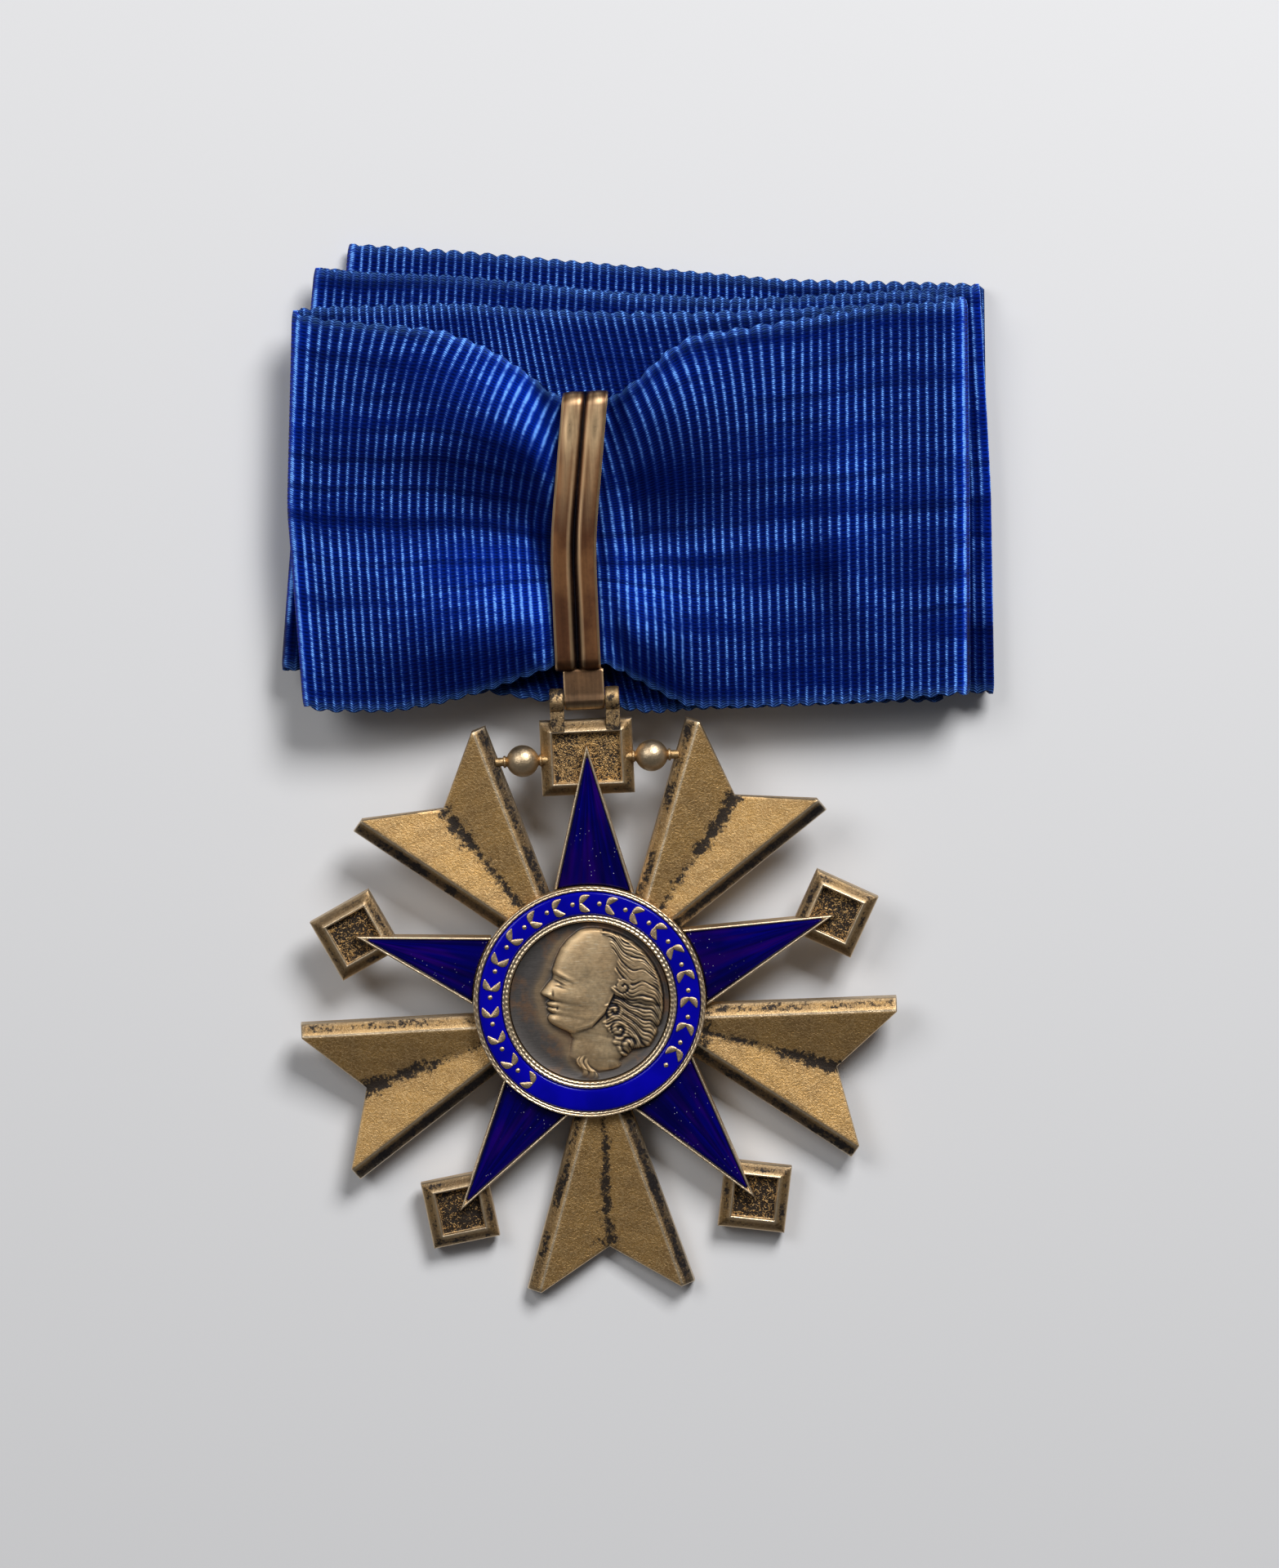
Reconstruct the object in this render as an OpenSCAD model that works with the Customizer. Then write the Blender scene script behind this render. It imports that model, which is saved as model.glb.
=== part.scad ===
// Order neck badge: a five-armed enamel star between swallow-tail rays, on a long bail
// and a folded neck ribbon. It lies face up. The origin is under the middle of the packet.

/* [Ribbon] */
// width of the ribbon, selvedge to selvedge
ribbon_width = 38.4; // [30:0.1:45]
// length of the folded packet, fold to fold
packet_length = 66.4; // [50:0.1:90]
// thickness of the cloth, with its loft
cloth = 1.0; // [0.6:0.05:1.2]
// air between two layers of the packet
layer_gap = 0.07; // [0.03:0.01:0.3]
// turn of the packet against the badge, in degrees
ribbon_turn = -2.6; // [-6:0.1:6]
// how many gathers the front layer has beside the bail
gathers = 3; // [0:1:5]
// height of a gather, as a share of the lift over the bail
gather_share = 0.55; // [0:0.05:0.8]

/* [Bail] */
// width of the bail's band
bail_width = 4.4; // [3:0.1:6]
// outer length of the bail's loop
bail_length = 27.1; // [20:0.1:36]
// thickness of the front bar
front_bar = 1.1; // [0.9:0.05:1.6]
// thickness of the back bar
back_bar = 0.9; // [0.6:0.05:1.4]
// wall at the two ends of the loop
bail_end = 0.5; // [0.4:0.05:1]
// air between the ribbon and each bar
bail_clearance = 0.1; // [0.05:0.01:0.3]
// depth of the groove between the two reeds of the front bar
reed_depth = 0.42; // [0.2:0.02:0.6]
// rounding of the loop's lower end
end_round = 1.1; // [0.8:0.05:1.3]
// sideways bend of the upper half, in degrees
bail_bend = 7.4; // [0.5:0.1:10]
// width of the knuckle that turns on the pin
knuckle_width = 3.9; // [3:0.1:5]
// outer radius of the knuckle
knuckle_r = 0.95; // [0.8:0.05:1.2]

/* [Hinge] */
// radius of the hinge pin
pin_r = 0.4; // [0.3:0.01:0.5]
// running clearance of the pin in the knuckle, on the radius
running_fit = 0.05; // [0.02:0.01:0.1]
// clearance of the pin in the ears, on the radius
ear_fit = 0.02; // [0.01:0.01:0.05]
// width of each ear along the pin
ear_width = 1.35; // [1:0.05:2]
// radius of the rounded end of an ear
ear_r = 1.25; // [1:0.05:1.5]
// distance from the upper edge of the frame under the hinge to the pin
hinge_out = 1.9; // [1.6:0.05:3]
// small gap between pieces that are fastened to each other
piece_gap = 0.05; // [0.02:0.01:0.1]

/* [Rays] */
// distance from the centre to the tip corners of a ray
ray_reach = 29.1; // [25:0.1:34]
// half angle between the two long edges of a ray
ray_half_angle = 17.5; // [14:0.1:20]
// distance from the centre to the point where the long edges would meet
ray_apex = 1.9; // [0:0.1:4]
// distance from the centre to the bottom of the swallow-tail notch
notch_reach = 24.15; // [20:0.05:28]
// height of a ray's crest over its back
ray_height = 2.1; // [1.6:0.1:3]
// slope of the two facets towards the middle line, in degrees
facet_slope = 11; // [5:1:15]
// width of the bevel along each long edge
bevel_width = 1.25; // [0.6:0.05:1.8]
// slope of that bevel, in degrees
bevel_slope = 30; // [15:1:45]

/* [Arms] */
// distance from the centre to an arm's tip
arm_reach = 24.5; // [20:0.1:28]
// how far the arm under the hinge runs past the middle of its frame
top_arm_over = 1.35; // [0.5:0.05:2]
// half angle of an arm at its tip
arm_half_angle = 15; // [12:0.5:18]
// height of an arm's metal border over the back
arm_height = 2.5; // [2:0.1:3]
// width of the metal border beside the enamel
border = 0.28; // [0.2:0.01:0.5]
// depth of the cell that holds the enamel
cell_depth = 0.9; // [0.5:0.1:1.2]
// rise of the enamel over its border
enamel_rise = 0.12; // [0.05:0.01:0.3]
// radius of the enamel's crown across the arm
crown_r = 24; // [15:1:60]

/* [Frames] */
// side of the square frame at an arm's tip
frame_side = 6.55; // [5:0.05:8]
// width of the sloping border of a frame
frame_border = 1.05; // [0.7:0.05:1.5]
// height of a frame's crest over the back
frame_height = 2.05; // [1.6:0.05:3]
// depth of a frame's floor under its crest
frame_depth = 0.75; // [0.4:0.05:1.2]
// drop of a frame's outer slope
frame_drop = 0.7; // [0.3:0.05:1]
// width of the frame under the hinge
top_frame_width = 9.0; // [7:0.1:11]
// height of the frame under the hinge
top_frame_length = 7.3; // [5:0.1:9]
// distance from the centre to the middle of that frame
top_frame_reach = 23.95; // [20:0.05:28]
// radius of the balls beside that frame
ball_r = 1.45; // [1:0.05:2]
// distance of each ball from the middle line
ball_out = 6.26; // [5:0.02:8]

/* [Medallion] */
// shift of the medallion from the star's centre, to the right
medallion_x = -0.84; // [-1.5:0.02:1.5]
// shift of the medallion from the star's centre, up
medallion_y = 0.24; // [-1.5:0.02:1.5]
// outer radius of the medallion
medallion_r = 11.3; // [9:0.1:13]
// width of the outer twisted rim
rope_width = 0.5; // [0.3:0.05:0.8]
// inner radius of the enamel ring
ring_inner_r = 8.5; // [7:0.05:10]
// radius of the sunk disc with the head
disc_r = 7.8; // [6:0.05:9]
// height of the medallion's back over the star's back
seat_height = 1.9; // [1.4:0.1:2.4]
// height of the outer rim over the medallion's back
rim_height = 1.35; // [1:0.05:2]
// height of the disc's floor over the medallion's back
disc_floor = 0.75; // [0.4:0.05:1.2]
// highest relief of the head over that floor
relief = 1.0; // [0.4:0.05:1.4]

/* [Hidden] */
$fn = 96;
tiny = 0.01;
pitch = cloth + layer_gap;
slot = cloth + 2 * bail_clearance;
// middle heights of the six layers of cloth, from the floor up
layer_z = [for (i = [0:5]) cloth / 2 + i * pitch];
bail_back_z = layer_z[4] + cloth / 2 + 1.2 * bail_clearance;
slot_z = bail_back_z + back_bar + slot / 2;
lift = slot_z - layer_z[5];
// the hinge, measured from the middle of the packet
hinge_x = -6.2;
hinge_y = -18.8;
hinge_z = layer_z[4] + cloth / 2 + ear_r + 1.2 * bail_clearance;
pin_height = ear_r + 0.05;
pin_reach = top_frame_reach + top_frame_length / 2 + hinge_out;
top_arm_reach = top_frame_reach + top_arm_over;
tail_reach = ray_reach * cos(16.6);
// the star leans until the two lowest tips touch the floor
lean = asin((hinge_z - pin_height * cos(5)) / (pin_reach + tail_reach));
ear_inner = knuckle_width / 2 + 0.08;
pin_length = 2 * (ear_inner + ear_width);
// where the arms and their cells start, under the medallion
arm_root = 0.62 * medallion_r;
cell_root = 0.84 * medallion_r;
hub_r = 0.8 * medallion_r;
// loop of the bail, from the hinge
loop_x = -0.45;
loop_start = hinge_y + 2.85;
bend_start = 9;
bend_r = 50;
bend_length = bend_r * bail_bend * PI / 180;
gold = [0.74, 0.58, 0.36];
dark_gold = [0.55, 0.43, 0.27];
blue = [0.05, 0.05, 0.62];
ribbon_blue = [0.05, 0.16, 0.55];

// Ribbon. Each row of a layer is: place along the packet, top edge, bottom edge, all
// measured from the packet's middle, as shares of its length and of the ribbon's width.
lay_f = [[-0.48, 0.669, -0.331], [-0.27, 0.638, -0.345], [0.21, 0.565, -0.43], [0.52, 0.558, -0.47]];
lay_a = [[-0.48, 0.669, -0.331], [-0.27, 0.646, -0.34], [0.21, 0.573, -0.43], [0.43, 0.565, -0.465],
    [0.52, 0.56, -0.475]];
lay_e = [[-0.53, 0.608, -0.415], [-0.27, 0.573, -0.42], [0.14, 0.517, -0.45], [0.52, 0.56, -0.475]];
lay_b = [[-0.53, 0.608, -0.415], [-0.42, 0.588, -0.42], [-0.27, 0.58, -0.43], [-0.15, 0.558, -0.44],
    [-0.04, 0.535, -0.45], [0.14, 0.521, -0.462], [0.4, 0.539, -0.475], [0.49, 0.52, -0.475]];
lay_c = [[-0.51, 0.49, -0.504], [-0.46, 0.498, -0.492], [-0.27, 0.506, -0.484], [-0.23, 0.502, -0.472],
    [-0.15, 0.492, -0.494], [-0.04, 0.485, -0.513], [0.02, 0.485, -0.527], [0.075, 0.485, -0.517],
    [0.14, 0.487, -0.512], [0.36, 0.506, -0.498], [0.45, 0.504, -0.496]];
lay_d = [[-0.51, 0.483, -0.504], [-0.46, 0.463, -0.523], [-0.36, 0.448, -0.523], [-0.293, 0.438, -0.503],
    [-0.237, 0.402, -0.477], [-0.196, 0.365, -0.454], [-0.149, 0.308, -0.425], [-0.124, 0.267, -0.408],
    [-0.087, 0.256, -0.401], [-0.052, 0.252, -0.4], [0, 0.313, -0.446], [0.034, 0.375, -0.479],
    [0.072, 0.421, -0.513], [0.141, 0.44, -0.513], [0.25, 0.47, -0.506], [0.358, 0.503, -0.496],
    [0.49, 0.512, -0.475]];

// Ends of the runs. Each row is: outer face at the top, half way and at the bottom as
// shares of the packet's length, the side (1 right, -1 left), the two layers that meet.
fold_right_low = [0.504, 0.52, 0.525, 1, 1, 2];
fold_right_high = [0.484, 0.487, 0.488, 1, 5, 3];
fold_left_low = [-0.4325, -0.455, -0.48, -1, 0, 1];
fold_left_mid = [-0.481, -0.507, -0.529, -1, 2, 3];
fold_left_high = [-0.512, -0.519, -0.496, -1, 4, 5];
free_right_low = [0.508, 0.512, 0.514, 0, 0, 0];
free_right_high = [0.442, 0.444, 0.445, 0, 4, 4];

// The strip from its lower free end to its upper one: layer, left end, right end, travel.
runs = [
    [0, lay_f, fold_left_low, free_right_low, -1],
    [1, lay_a, fold_left_low, fold_right_low, 1],
    [2, lay_e, fold_left_mid, fold_right_low, -1],
    [3, lay_b, fold_left_mid, fold_right_high, 1],
    [5, lay_d, fold_left_high, fold_right_high, -1],
    [4, lay_c, fold_left_high, free_right_high, 1],
];
turns = [fold_left_low, fold_right_low, fold_left_mid, fold_right_high, fold_left_high];
plain_steps = 9;
front_steps = 34;
turn_steps = 5;
across = 14;

function mixed(a, b, t) = a + (b - a) * t;
function fold_line(f, v) = v < 0.5 ? mixed(f[0], f[1], 2 * v) : mixed(f[1], f[2], 2 * v - 1);
function fold_radius(f) = abs(layer_z[f[5]] - layer_z[f[4]]) / 2;
function fold_x(f, v) = fold_line(f, v) * packet_length - f[3] * (fold_radius(f) + cloth / 2);
function edge_top(lay, x) = lookup(x / packet_length, [for (r = lay) [r[0], r[1]]]);
function edge_bottom(lay, x) = lookup(x / packet_length, [for (r = lay) [r[0], r[2]]]);
function on_layer(lay, x, v) = ribbon_width * mixed(edge_top(lay, x), edge_bottom(lay, x), v);
function ease(t) = t <= 0 ? 1 : t >= 1 ? 0 : 0.5 + 0.5 * cos(180 * t);
// rise of the front layer over the bail's back bar, with gathers beside the bail
bail_mid = hinge_x + 0.14 * bail_width;
function rise(x, v) =
    let (away = abs(x - bail_mid))
    let (hill = ease((away - 0.95 * bail_width) / (0.18 * packet_length)))
    let (beside = 1 - ease((away - 0.73 * bail_width) / (0.9 * bail_width)))
    lift * hill * (1 - gather_share * beside * (0.5 - 0.5 * cos(360 * gathers * v)));
function run_point(run, s, v) =
    let (x = mixed(fold_x(run[2], v), fold_x(run[3], v), run[4] > 0 ? s : 1 - s))
    [x, on_layer(run[1], x, v), layer_z[run[0]] + (run[0] == 5 ? rise(x, v) : 0)];
function turn_point(f, before, after, t, v) =
    let (x = fold_x(f, v))
    let (r = fold_radius(f))
    let (up = layer_z[after[0]] > layer_z[before[0]] ? 1 : -1)
    [
        x + f[3] * r * sin(180 * t),
        mixed(on_layer(before[1], x, v), on_layer(after[1], x, v), t),
        (layer_z[before[0]] + layer_z[after[0]]) / 2 - up * r * cos(180 * t),
    ];
function run_steps(run) = run[0] == 5 ? front_steps : plain_steps;
strip = [
    for (k = [0:5]) each concat(
        [for (i = [0:run_steps(runs[k])])
            [for (j = [0:across]) run_point(runs[k], i / run_steps(runs[k]), j / across)]],
        k == 5 ? [] : [for (i = [1:turn_steps - 1])
            [for (j = [0:across]) turn_point(turns[k], runs[k], runs[k + 1], i / turn_steps, j / across)]]
    ),
];
strip_last = len(strip) - 1;
function along(i, j) = strip[min(i + 1, strip_last)][j] - strip[max(i - 1, 0)][j];
function side_to_side(i, j) = strip[i][min(j + 1, across)] - strip[i][max(j - 1, 0)];
function face_normal(i, j) =
    let (n = cross(along(i, j), side_to_side(i, j)))
    n / norm(n);
// one face of the cloth after the other, then the walls that join them
strip_points = concat(
    [for (i = [0:strip_last]) for (j = [0:across]) strip[i][j] + face_normal(i, j) * cloth / 2],
    [for (i = [0:strip_last]) for (j = [0:across]) strip[i][j] - face_normal(i, j) * cloth / 2]
);
one_face = (strip_last + 1) * (across + 1);
function at(i, j) = i * (across + 1) + j;
strip_faces = concat(
    [for (i = [0:strip_last - 1]) for (j = [0:across - 1]) each [
        [at(i, j), at(i + 1, j), at(i + 1, j + 1)],
        [at(i, j), at(i + 1, j + 1), at(i, j + 1)],
    ]],
    [for (i = [0:strip_last - 1]) for (j = [0:across - 1]) each [
        [one_face + at(i, j), one_face + at(i + 1, j + 1), one_face + at(i + 1, j)],
        [one_face + at(i, j), one_face + at(i, j + 1), one_face + at(i + 1, j + 1)],
    ]],
    [for (i = [0:strip_last - 1]) each [
        [at(i, 0), one_face + at(i + 1, 0), at(i + 1, 0)],
        [at(i, 0), one_face + at(i, 0), one_face + at(i + 1, 0)],
        [at(i, across), at(i + 1, across), one_face + at(i + 1, across)],
        [at(i, across), one_face + at(i + 1, across), one_face + at(i, across)],
    ]],
    [for (j = [0:across - 1]) each [
        [at(0, j), at(0, j + 1), one_face + at(0, j + 1)],
        [at(0, j), one_face + at(0, j + 1), one_face + at(0, j)],
        [at(strip_last, j), one_face + at(strip_last, j + 1), at(strip_last, j + 1)],
        [at(strip_last, j), one_face + at(strip_last, j), one_face + at(strip_last, j + 1)],
    ]]
);

module ribbon() {
    color(ribbon_blue)
        rotate([0, 0, ribbon_turn])
            polyhedron(points = strip_points, faces = strip_faces, convexity = 12);
}

// Bail. Its middle line runs straight up from the knuckle, bends and runs on straight.
function bend_at(y) = min(1, max(0, (y - bend_start) / bend_length)) * bail_bend;
function bail_x(y) =
    bend_r * (1 - cos(bend_at(y))) + max(0, y - bend_start - bend_length) * tan(bail_bend);
bail_rows = [
    for (y = [-1, 0, 3, 6, bend_start]) y,
    for (i = [1:5]) bend_start + bend_length * i / 5,
    for (i = [1:4]) mixed(bend_start + bend_length, bail_length + 1, i / 4),
];
bail_edge = [for (y = bail_rows) [bail_x(y), y]];
module side_profile() {
    low = -slot / 2 - back_bar;
    tall = back_bar + slot + front_bar;
    difference() {
        translate([0, low]) square([bail_length, tall]);
        translate([bail_end, -slot / 2]) square([bail_length - 2 * bail_end, slot]);
        translate([end_round, low + tall - end_round]) corner(180);
        translate([bail_length - 1.4 * end_round, low + tall - 1.4 * end_round]) scale(1.4) corner(0);
    }
}
// what a rounded corner cuts away, on the side that the turn points at
module corner(turn) {
    mirror([turn == 180 ? 1 : 0, 0])
        difference() {
            square(end_round + 1);
            circle(r = end_round);
        }
}
// a straight cut along one stretch of the band, from one row to the next
module band_cut(from, to, across_band, depth, half) {
    step = to - from;
    heading = atan2(step[0], step[1]);
    translate([from[0], from[1], slot / 2 + front_bar])
        rotate([0, 0, -heading])
            translate([across_band, norm(step) + 0.04, 0])
                rotate([90, 0, 0])
                    linear_extrude(norm(step) + 0.08)
                        polygon([[-half, depth], [-half, 0.001], [0, -depth], [half, 0.001], [half, depth]]);
}
module bail() {
    color(gold)
        difference() {
            union() {
                translate([hinge_x + loop_x, loop_start, slot_z])
                    difference() {
                        intersection() {
                            translate([-bail_length / 2, 0, 0])
                                rotate([90, 0, 90]) linear_extrude(bail_length) side_profile();
                            translate([0, 0, -5])
                                linear_extrude(10)
                                    polygon(concat(
                                        [for (p = bail_edge) p + [-bail_width / 2, 0]],
                                        [for (i = [len(bail_edge) - 1:-1:0])
                                            bail_edge[i] + [bail_width / 2, 0]]
                                    ));
                        }
                        // groove between the two reeds, and the round outer side of each
                        for (i = [0:len(bail_edge) - 2]) {
                            band_cut(bail_edge[i], bail_edge[i + 1], 0, reed_depth, 1.5 * reed_depth);
                            band_cut(bail_edge[i], bail_edge[i + 1], -bail_width / 2, reed_depth, 1.2 * reed_depth);
                            band_cut(bail_edge[i], bail_edge[i + 1], bail_width / 2, reed_depth, 1.2 * reed_depth);
                        }
                    }
                // tongue from the loop's lower end to the knuckle
                translate([hinge_x - knuckle_width / 2, hinge_y, hinge_z - knuckle_r + 0.1])
                    cube([knuckle_width, loop_start - hinge_y + bail_end / 2, 2 * knuckle_r - 0.2]);
                translate([hinge_x, hinge_y, hinge_z])
                    rotate([0, 90, 0]) cylinder(r = knuckle_r, h = knuckle_width, center = true);
            }
            translate([hinge_x, hinge_y, hinge_z])
                rotate([0, 90, 0]) cylinder(r = pin_r + running_fit, h = 20, center = true);
        }
}

module hinge_pin() {
    color(dark_gold)
        translate([hinge_x, hinge_y, hinge_z])
            rotate([0, 90, 0]) cylinder(r = pin_r, h = pin_length, center = true);
}

// Everything that swings is drawn flat, with the star's centre in the middle and its
// back at zero, and is then hung on the pin and leaned.
module hung() {
    translate([hinge_x, hinge_y, hinge_z])
        rotate([lean, 0, 0])
            translate([0, -pin_reach, -pin_height]) children();
}

// One ray along +X: a flat blade, hollowed by two facets and bevelled along its edges.
module ray() {
    out = ray_reach * cos(16.6);
    half = (out - ray_apex) * tan(ray_half_angle);
    shoulder_x = ray_reach * cos(13.6);
    shoulder_y = ray_reach * sin(13.6);
    difference() {
        linear_extrude(ray_height)
            polygon([
                [ray_apex + 3, -3 * tan(ray_half_angle)],
                [out, -half],
                [shoulder_x, -shoulder_y],
                [notch_reach, 0],
                [shoulder_x, shoulder_y],
                [out, half],
                [ray_apex + 3, 3 * tan(ray_half_angle)],
            ]);
        intersection() {
            facet_cut();
            mirror([0, 1, 0]) facet_cut();
        }
        bevel_cut();
        mirror([0, 1, 0]) bevel_cut();
    }
}
module on_crest() {
    translate([ray_apex, 0, 0])
        rotate([0, 0, ray_half_angle])
            translate([0, -bevel_width, ray_height]) children();
}
module facet_cut() {
    on_crest() rotate([facet_slope, 0, 0]) translate([-10, -40, 0]) cube([60, 80, 20]);
}
module bevel_cut() {
    on_crest() rotate([-bevel_slope, 0, 0]) translate([-10, 0, 0]) cube([60, 10, 10]);
}

// Outline of an arm that points along +X, drawn in from its edge by inset.
module arm_outline(reach, root, inset) {
    tip = reach - inset / sin(arm_half_angle);
    half = (tip - root) * tan(arm_half_angle);
    polygon([[root, -half], [tip, 0], [root, half]]);
}
module arm_cell(reach) {
    translate([0, 0, arm_height - cell_depth])
        linear_extrude(cell_depth + 1) arm_outline(reach, cell_root, border);
}
module arm_enamel(reach, turn) {
    top = arm_height + enamel_rise;
    color(blue)
        hung()
            difference() {
                rotate([0, 0, turn])
                    intersection() {
                        translate([0, 0, arm_height - cell_depth + piece_gap])
                            linear_extrude(cell_depth + 1)
                                arm_outline(reach, cell_root, border + piece_gap);
                        translate([-1, 0, top - crown_r])
                            rotate([0, 90, 0]) cylinder(r = crown_r, h = 30, $fn = 256);
                    }
                translate([medallion_x, medallion_y, -1])
                    cylinder(r = medallion_r + 2 * piece_gap, h = 10);
            }
}

// A frame with a sloping border and a sunk floor. Its middle is the origin.
module frame(width, length, height) {
    crest_w = width - 2 * frame_border;
    crest_l = length - 2 * frame_border;
    low = height - frame_drop;
    difference() {
        intersection() {
            rotate([90, 0, 0])
                linear_extrude(length, center = true)
                    polygon([
                        [-width / 2, 0], [width / 2, 0], [width / 2, low],
                        [crest_w / 2, height], [-crest_w / 2, height], [-width / 2, low],
                    ]);
            rotate([90, 0, 90])
                linear_extrude(width, center = true)
                    polygon([
                        [-length / 2, 0], [length / 2, 0], [length / 2, low],
                        [crest_l / 2, height], [-crest_l / 2, height], [-length / 2, low],
                    ]);
        }
        translate([0, 0, height - frame_depth + 5])
            cube([crest_w - 0.3, crest_l - 0.3, 10], center = true);
    }
}

module ear(side) {
    start = side > 0 ? ear_inner : -ear_inner - ear_width;
    translate([start, 0, 0]) {
        translate([0, pin_reach, pin_height])
            rotate([0, 90, 0]) cylinder(r = ear_r, h = ear_width);
        translate([0, top_frame_reach + top_frame_length / 2 - frame_border, 0.2])
            cube([ear_width, pin_reach - top_frame_reach - top_frame_length / 2 + frame_border, 1.9]);
    }
}

// a short stem that carries a ball
module stem(x) {
    translate([x, top_frame_reach - 0.1, 1.1])
        rotate([0, 90, 0]) cylinder(r = 0.45, h = 1.8, center = true);
}

module star() {
    color(gold)
        hung()
            difference() {
                union() {
                    for (i = [0:4]) {
                        rotate([0, 0, 54 + 72 * i]) ray();
                    }
                    for (i = [1:4]) {
                        rotate([0, 0, 90 + 72 * i]) {
                            linear_extrude(arm_height) arm_outline(arm_reach, arm_root, 0);
                            translate([arm_reach, 0, 0])
                                rotate([0, 0, 45]) frame(frame_side, frame_side, frame_height);
                        }
                    }
                    rotate([0, 0, 90])
                        linear_extrude(arm_height) arm_outline(top_arm_reach, arm_root, 0);
                    translate([0, top_frame_reach, 0])
                        frame(top_frame_width, top_frame_length, frame_height);
                    for (side = [-1, 1]) {
                        ear(side);
                        translate([side * ball_out, top_frame_reach - 0.1, ball_r]) sphere(r = ball_r);
                        stem(side * (ball_out + ball_r + 0.3));
                        stem(side * top_frame_width / 2);
                    }
                    cylinder(r = hub_r, h = seat_height - 0.2);
                }
                // seat of the medallion
                translate([medallion_x, medallion_y, seat_height])
                    cylinder(r = medallion_r + 2 * piece_gap, h = 10);
                // cells of the arms
                for (i = [0:4]) {
                    rotate([0, 0, 90 + 72 * i]) arm_cell(i == 0 ? top_arm_reach : arm_reach);
                }
                translate([0, pin_reach, pin_height])
                    rotate([0, 90, 0]) cylinder(r = pin_r + ear_fit, h = 20, center = true);
            }
}

// Medallion. It is drawn from its own middle, with its back at zero.
module on_star() {
    hung() translate([medallion_x, medallion_y, seat_height + piece_gap]) children();
}
rope_r = rope_width / 2;
channel = medallion_r - rope_width;
channel_floor = disc_floor - 0.15;

module ring_cell() {
    color(gold)
        on_star()
            rotate_extrude($fn = 128) {
                translate([disc_r, 0]) square([medallion_r - disc_r, channel_floor]);
                translate([disc_r, 0]) square([ring_inner_r - disc_r, rim_height + 0.1]);
                translate([channel + 0.05, 0]) square([rope_width - 0.1, rim_height - rope_r]);
                translate([medallion_r - rope_r, rim_height - rope_r]) circle(r = rope_r, $fn = 24);
            }
}
module ring_enamel() {
    color(blue)
        on_star()
            rotate_extrude($fn = 128)
                intersection() {
                    translate([ring_inner_r + piece_gap, channel_floor + piece_gap])
                        square([channel - ring_inner_r - 2 * piece_gap, 2]);
                    translate([(channel + ring_inner_r) / 2, rim_height + 0.02 - 9]) circle(r = 9, $fn = 256);
                }
}

// Head in relief, facing left, by rows from the cut of the neck to the crown. The columns
// are: height, front edge, back edge, all as shares of the disc's radius, and the relief.
head_rows = [
    [-0.84, -0.1, 0.2, 0.05],
    [-0.76, -0.22, 0.4, 0.45],
    [-0.62, -0.18, 0.6, 0.6],
    [-0.5, -0.14, 0.72, 0.68],
    [-0.43, -0.2, 0.78, 0.72],
    [-0.39, -0.4, 0.8, 0.76],
    [-0.34, -0.46, 0.82, 0.8],
    [-0.28, -0.43, 0.84, 0.82],
    [-0.24, -0.48, 0.85, 0.84],
    [-0.2, -0.45, 0.86, 0.85],
    [-0.16, -0.5, 0.87, 0.86],
    [-0.11, -0.46, 0.88, 0.88],
    [-0.07, -0.58, 0.89, 0.9],
    [0.02, -0.55, 0.9, 0.93],
    [0.14, -0.48, 0.9, 0.96],
    [0.22, -0.5, 0.88, 0.98],
    [0.36, -0.48, 0.84, 1.0],
    [0.5, -0.5, 0.76, 0.98],
    [0.62, -0.52, 0.66, 0.9],
    [0.74, -0.46, 0.52, 0.8],
    [0.84, -0.34, 0.36, 0.62],
    [0.91, -0.2, 0.2, 0.4],
    [0.94, -0.1, 0.1, 0.05],
];
head_across = 14;
head_last = len(head_rows) - 1;
function arch(t) = pow(max(0, 1 - pow(abs(2 * t - 1), 2.6)), 0.5);
head_points = concat(
    [for (r = head_rows) for (j = [0:head_across])
        let (t = j / head_across)
        [mixed(r[1], r[2], t) * disc_r, r[0] * disc_r, disc_floor + relief * r[3] * arch(t)]],
    [for (r = head_rows) for (j = [0:head_across])
        [mixed(r[1], r[2], j / head_across) * disc_r, r[0] * disc_r, disc_floor - 0.3]]
);
head_face = (head_last + 1) * (head_across + 1);
function hat(i, j) = i * (head_across + 1) + j;
head_faces = concat(
    [for (i = [0:head_last - 1]) for (j = [0:head_across - 1]) each [
        [hat(i, j), hat(i + 1, j), hat(i + 1, j + 1)],
        [hat(i, j), hat(i + 1, j + 1), hat(i, j + 1)],
    ]],
    [for (i = [0:head_last - 1]) for (j = [0:head_across - 1]) each [
        [head_face + hat(i, j), head_face + hat(i + 1, j + 1), head_face + hat(i + 1, j)],
        [head_face + hat(i, j), head_face + hat(i, j + 1), head_face + hat(i + 1, j + 1)],
    ]],
    [for (i = [0:head_last - 1]) each [
        [hat(i, 0), head_face + hat(i + 1, 0), hat(i + 1, 0)],
        [hat(i, 0), head_face + hat(i, 0), head_face + hat(i + 1, 0)],
        [hat(i, head_across), hat(i + 1, head_across), head_face + hat(i + 1, head_across)],
        [hat(i, head_across), head_face + hat(i + 1, head_across), head_face + hat(i, head_across)],
    ]],
    [for (j = [0:head_across - 1]) each [
        [hat(0, j), hat(0, j + 1), head_face + hat(0, j + 1)],
        [hat(0, j), head_face + hat(0, j + 1), head_face + hat(0, j)],
        [hat(head_last, j), head_face + hat(head_last, j + 1), hat(head_last, j + 1)],
        [hat(head_last, j), head_face + hat(head_last, j), head_face + hat(head_last, j + 1)],
    ]]
);
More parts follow.
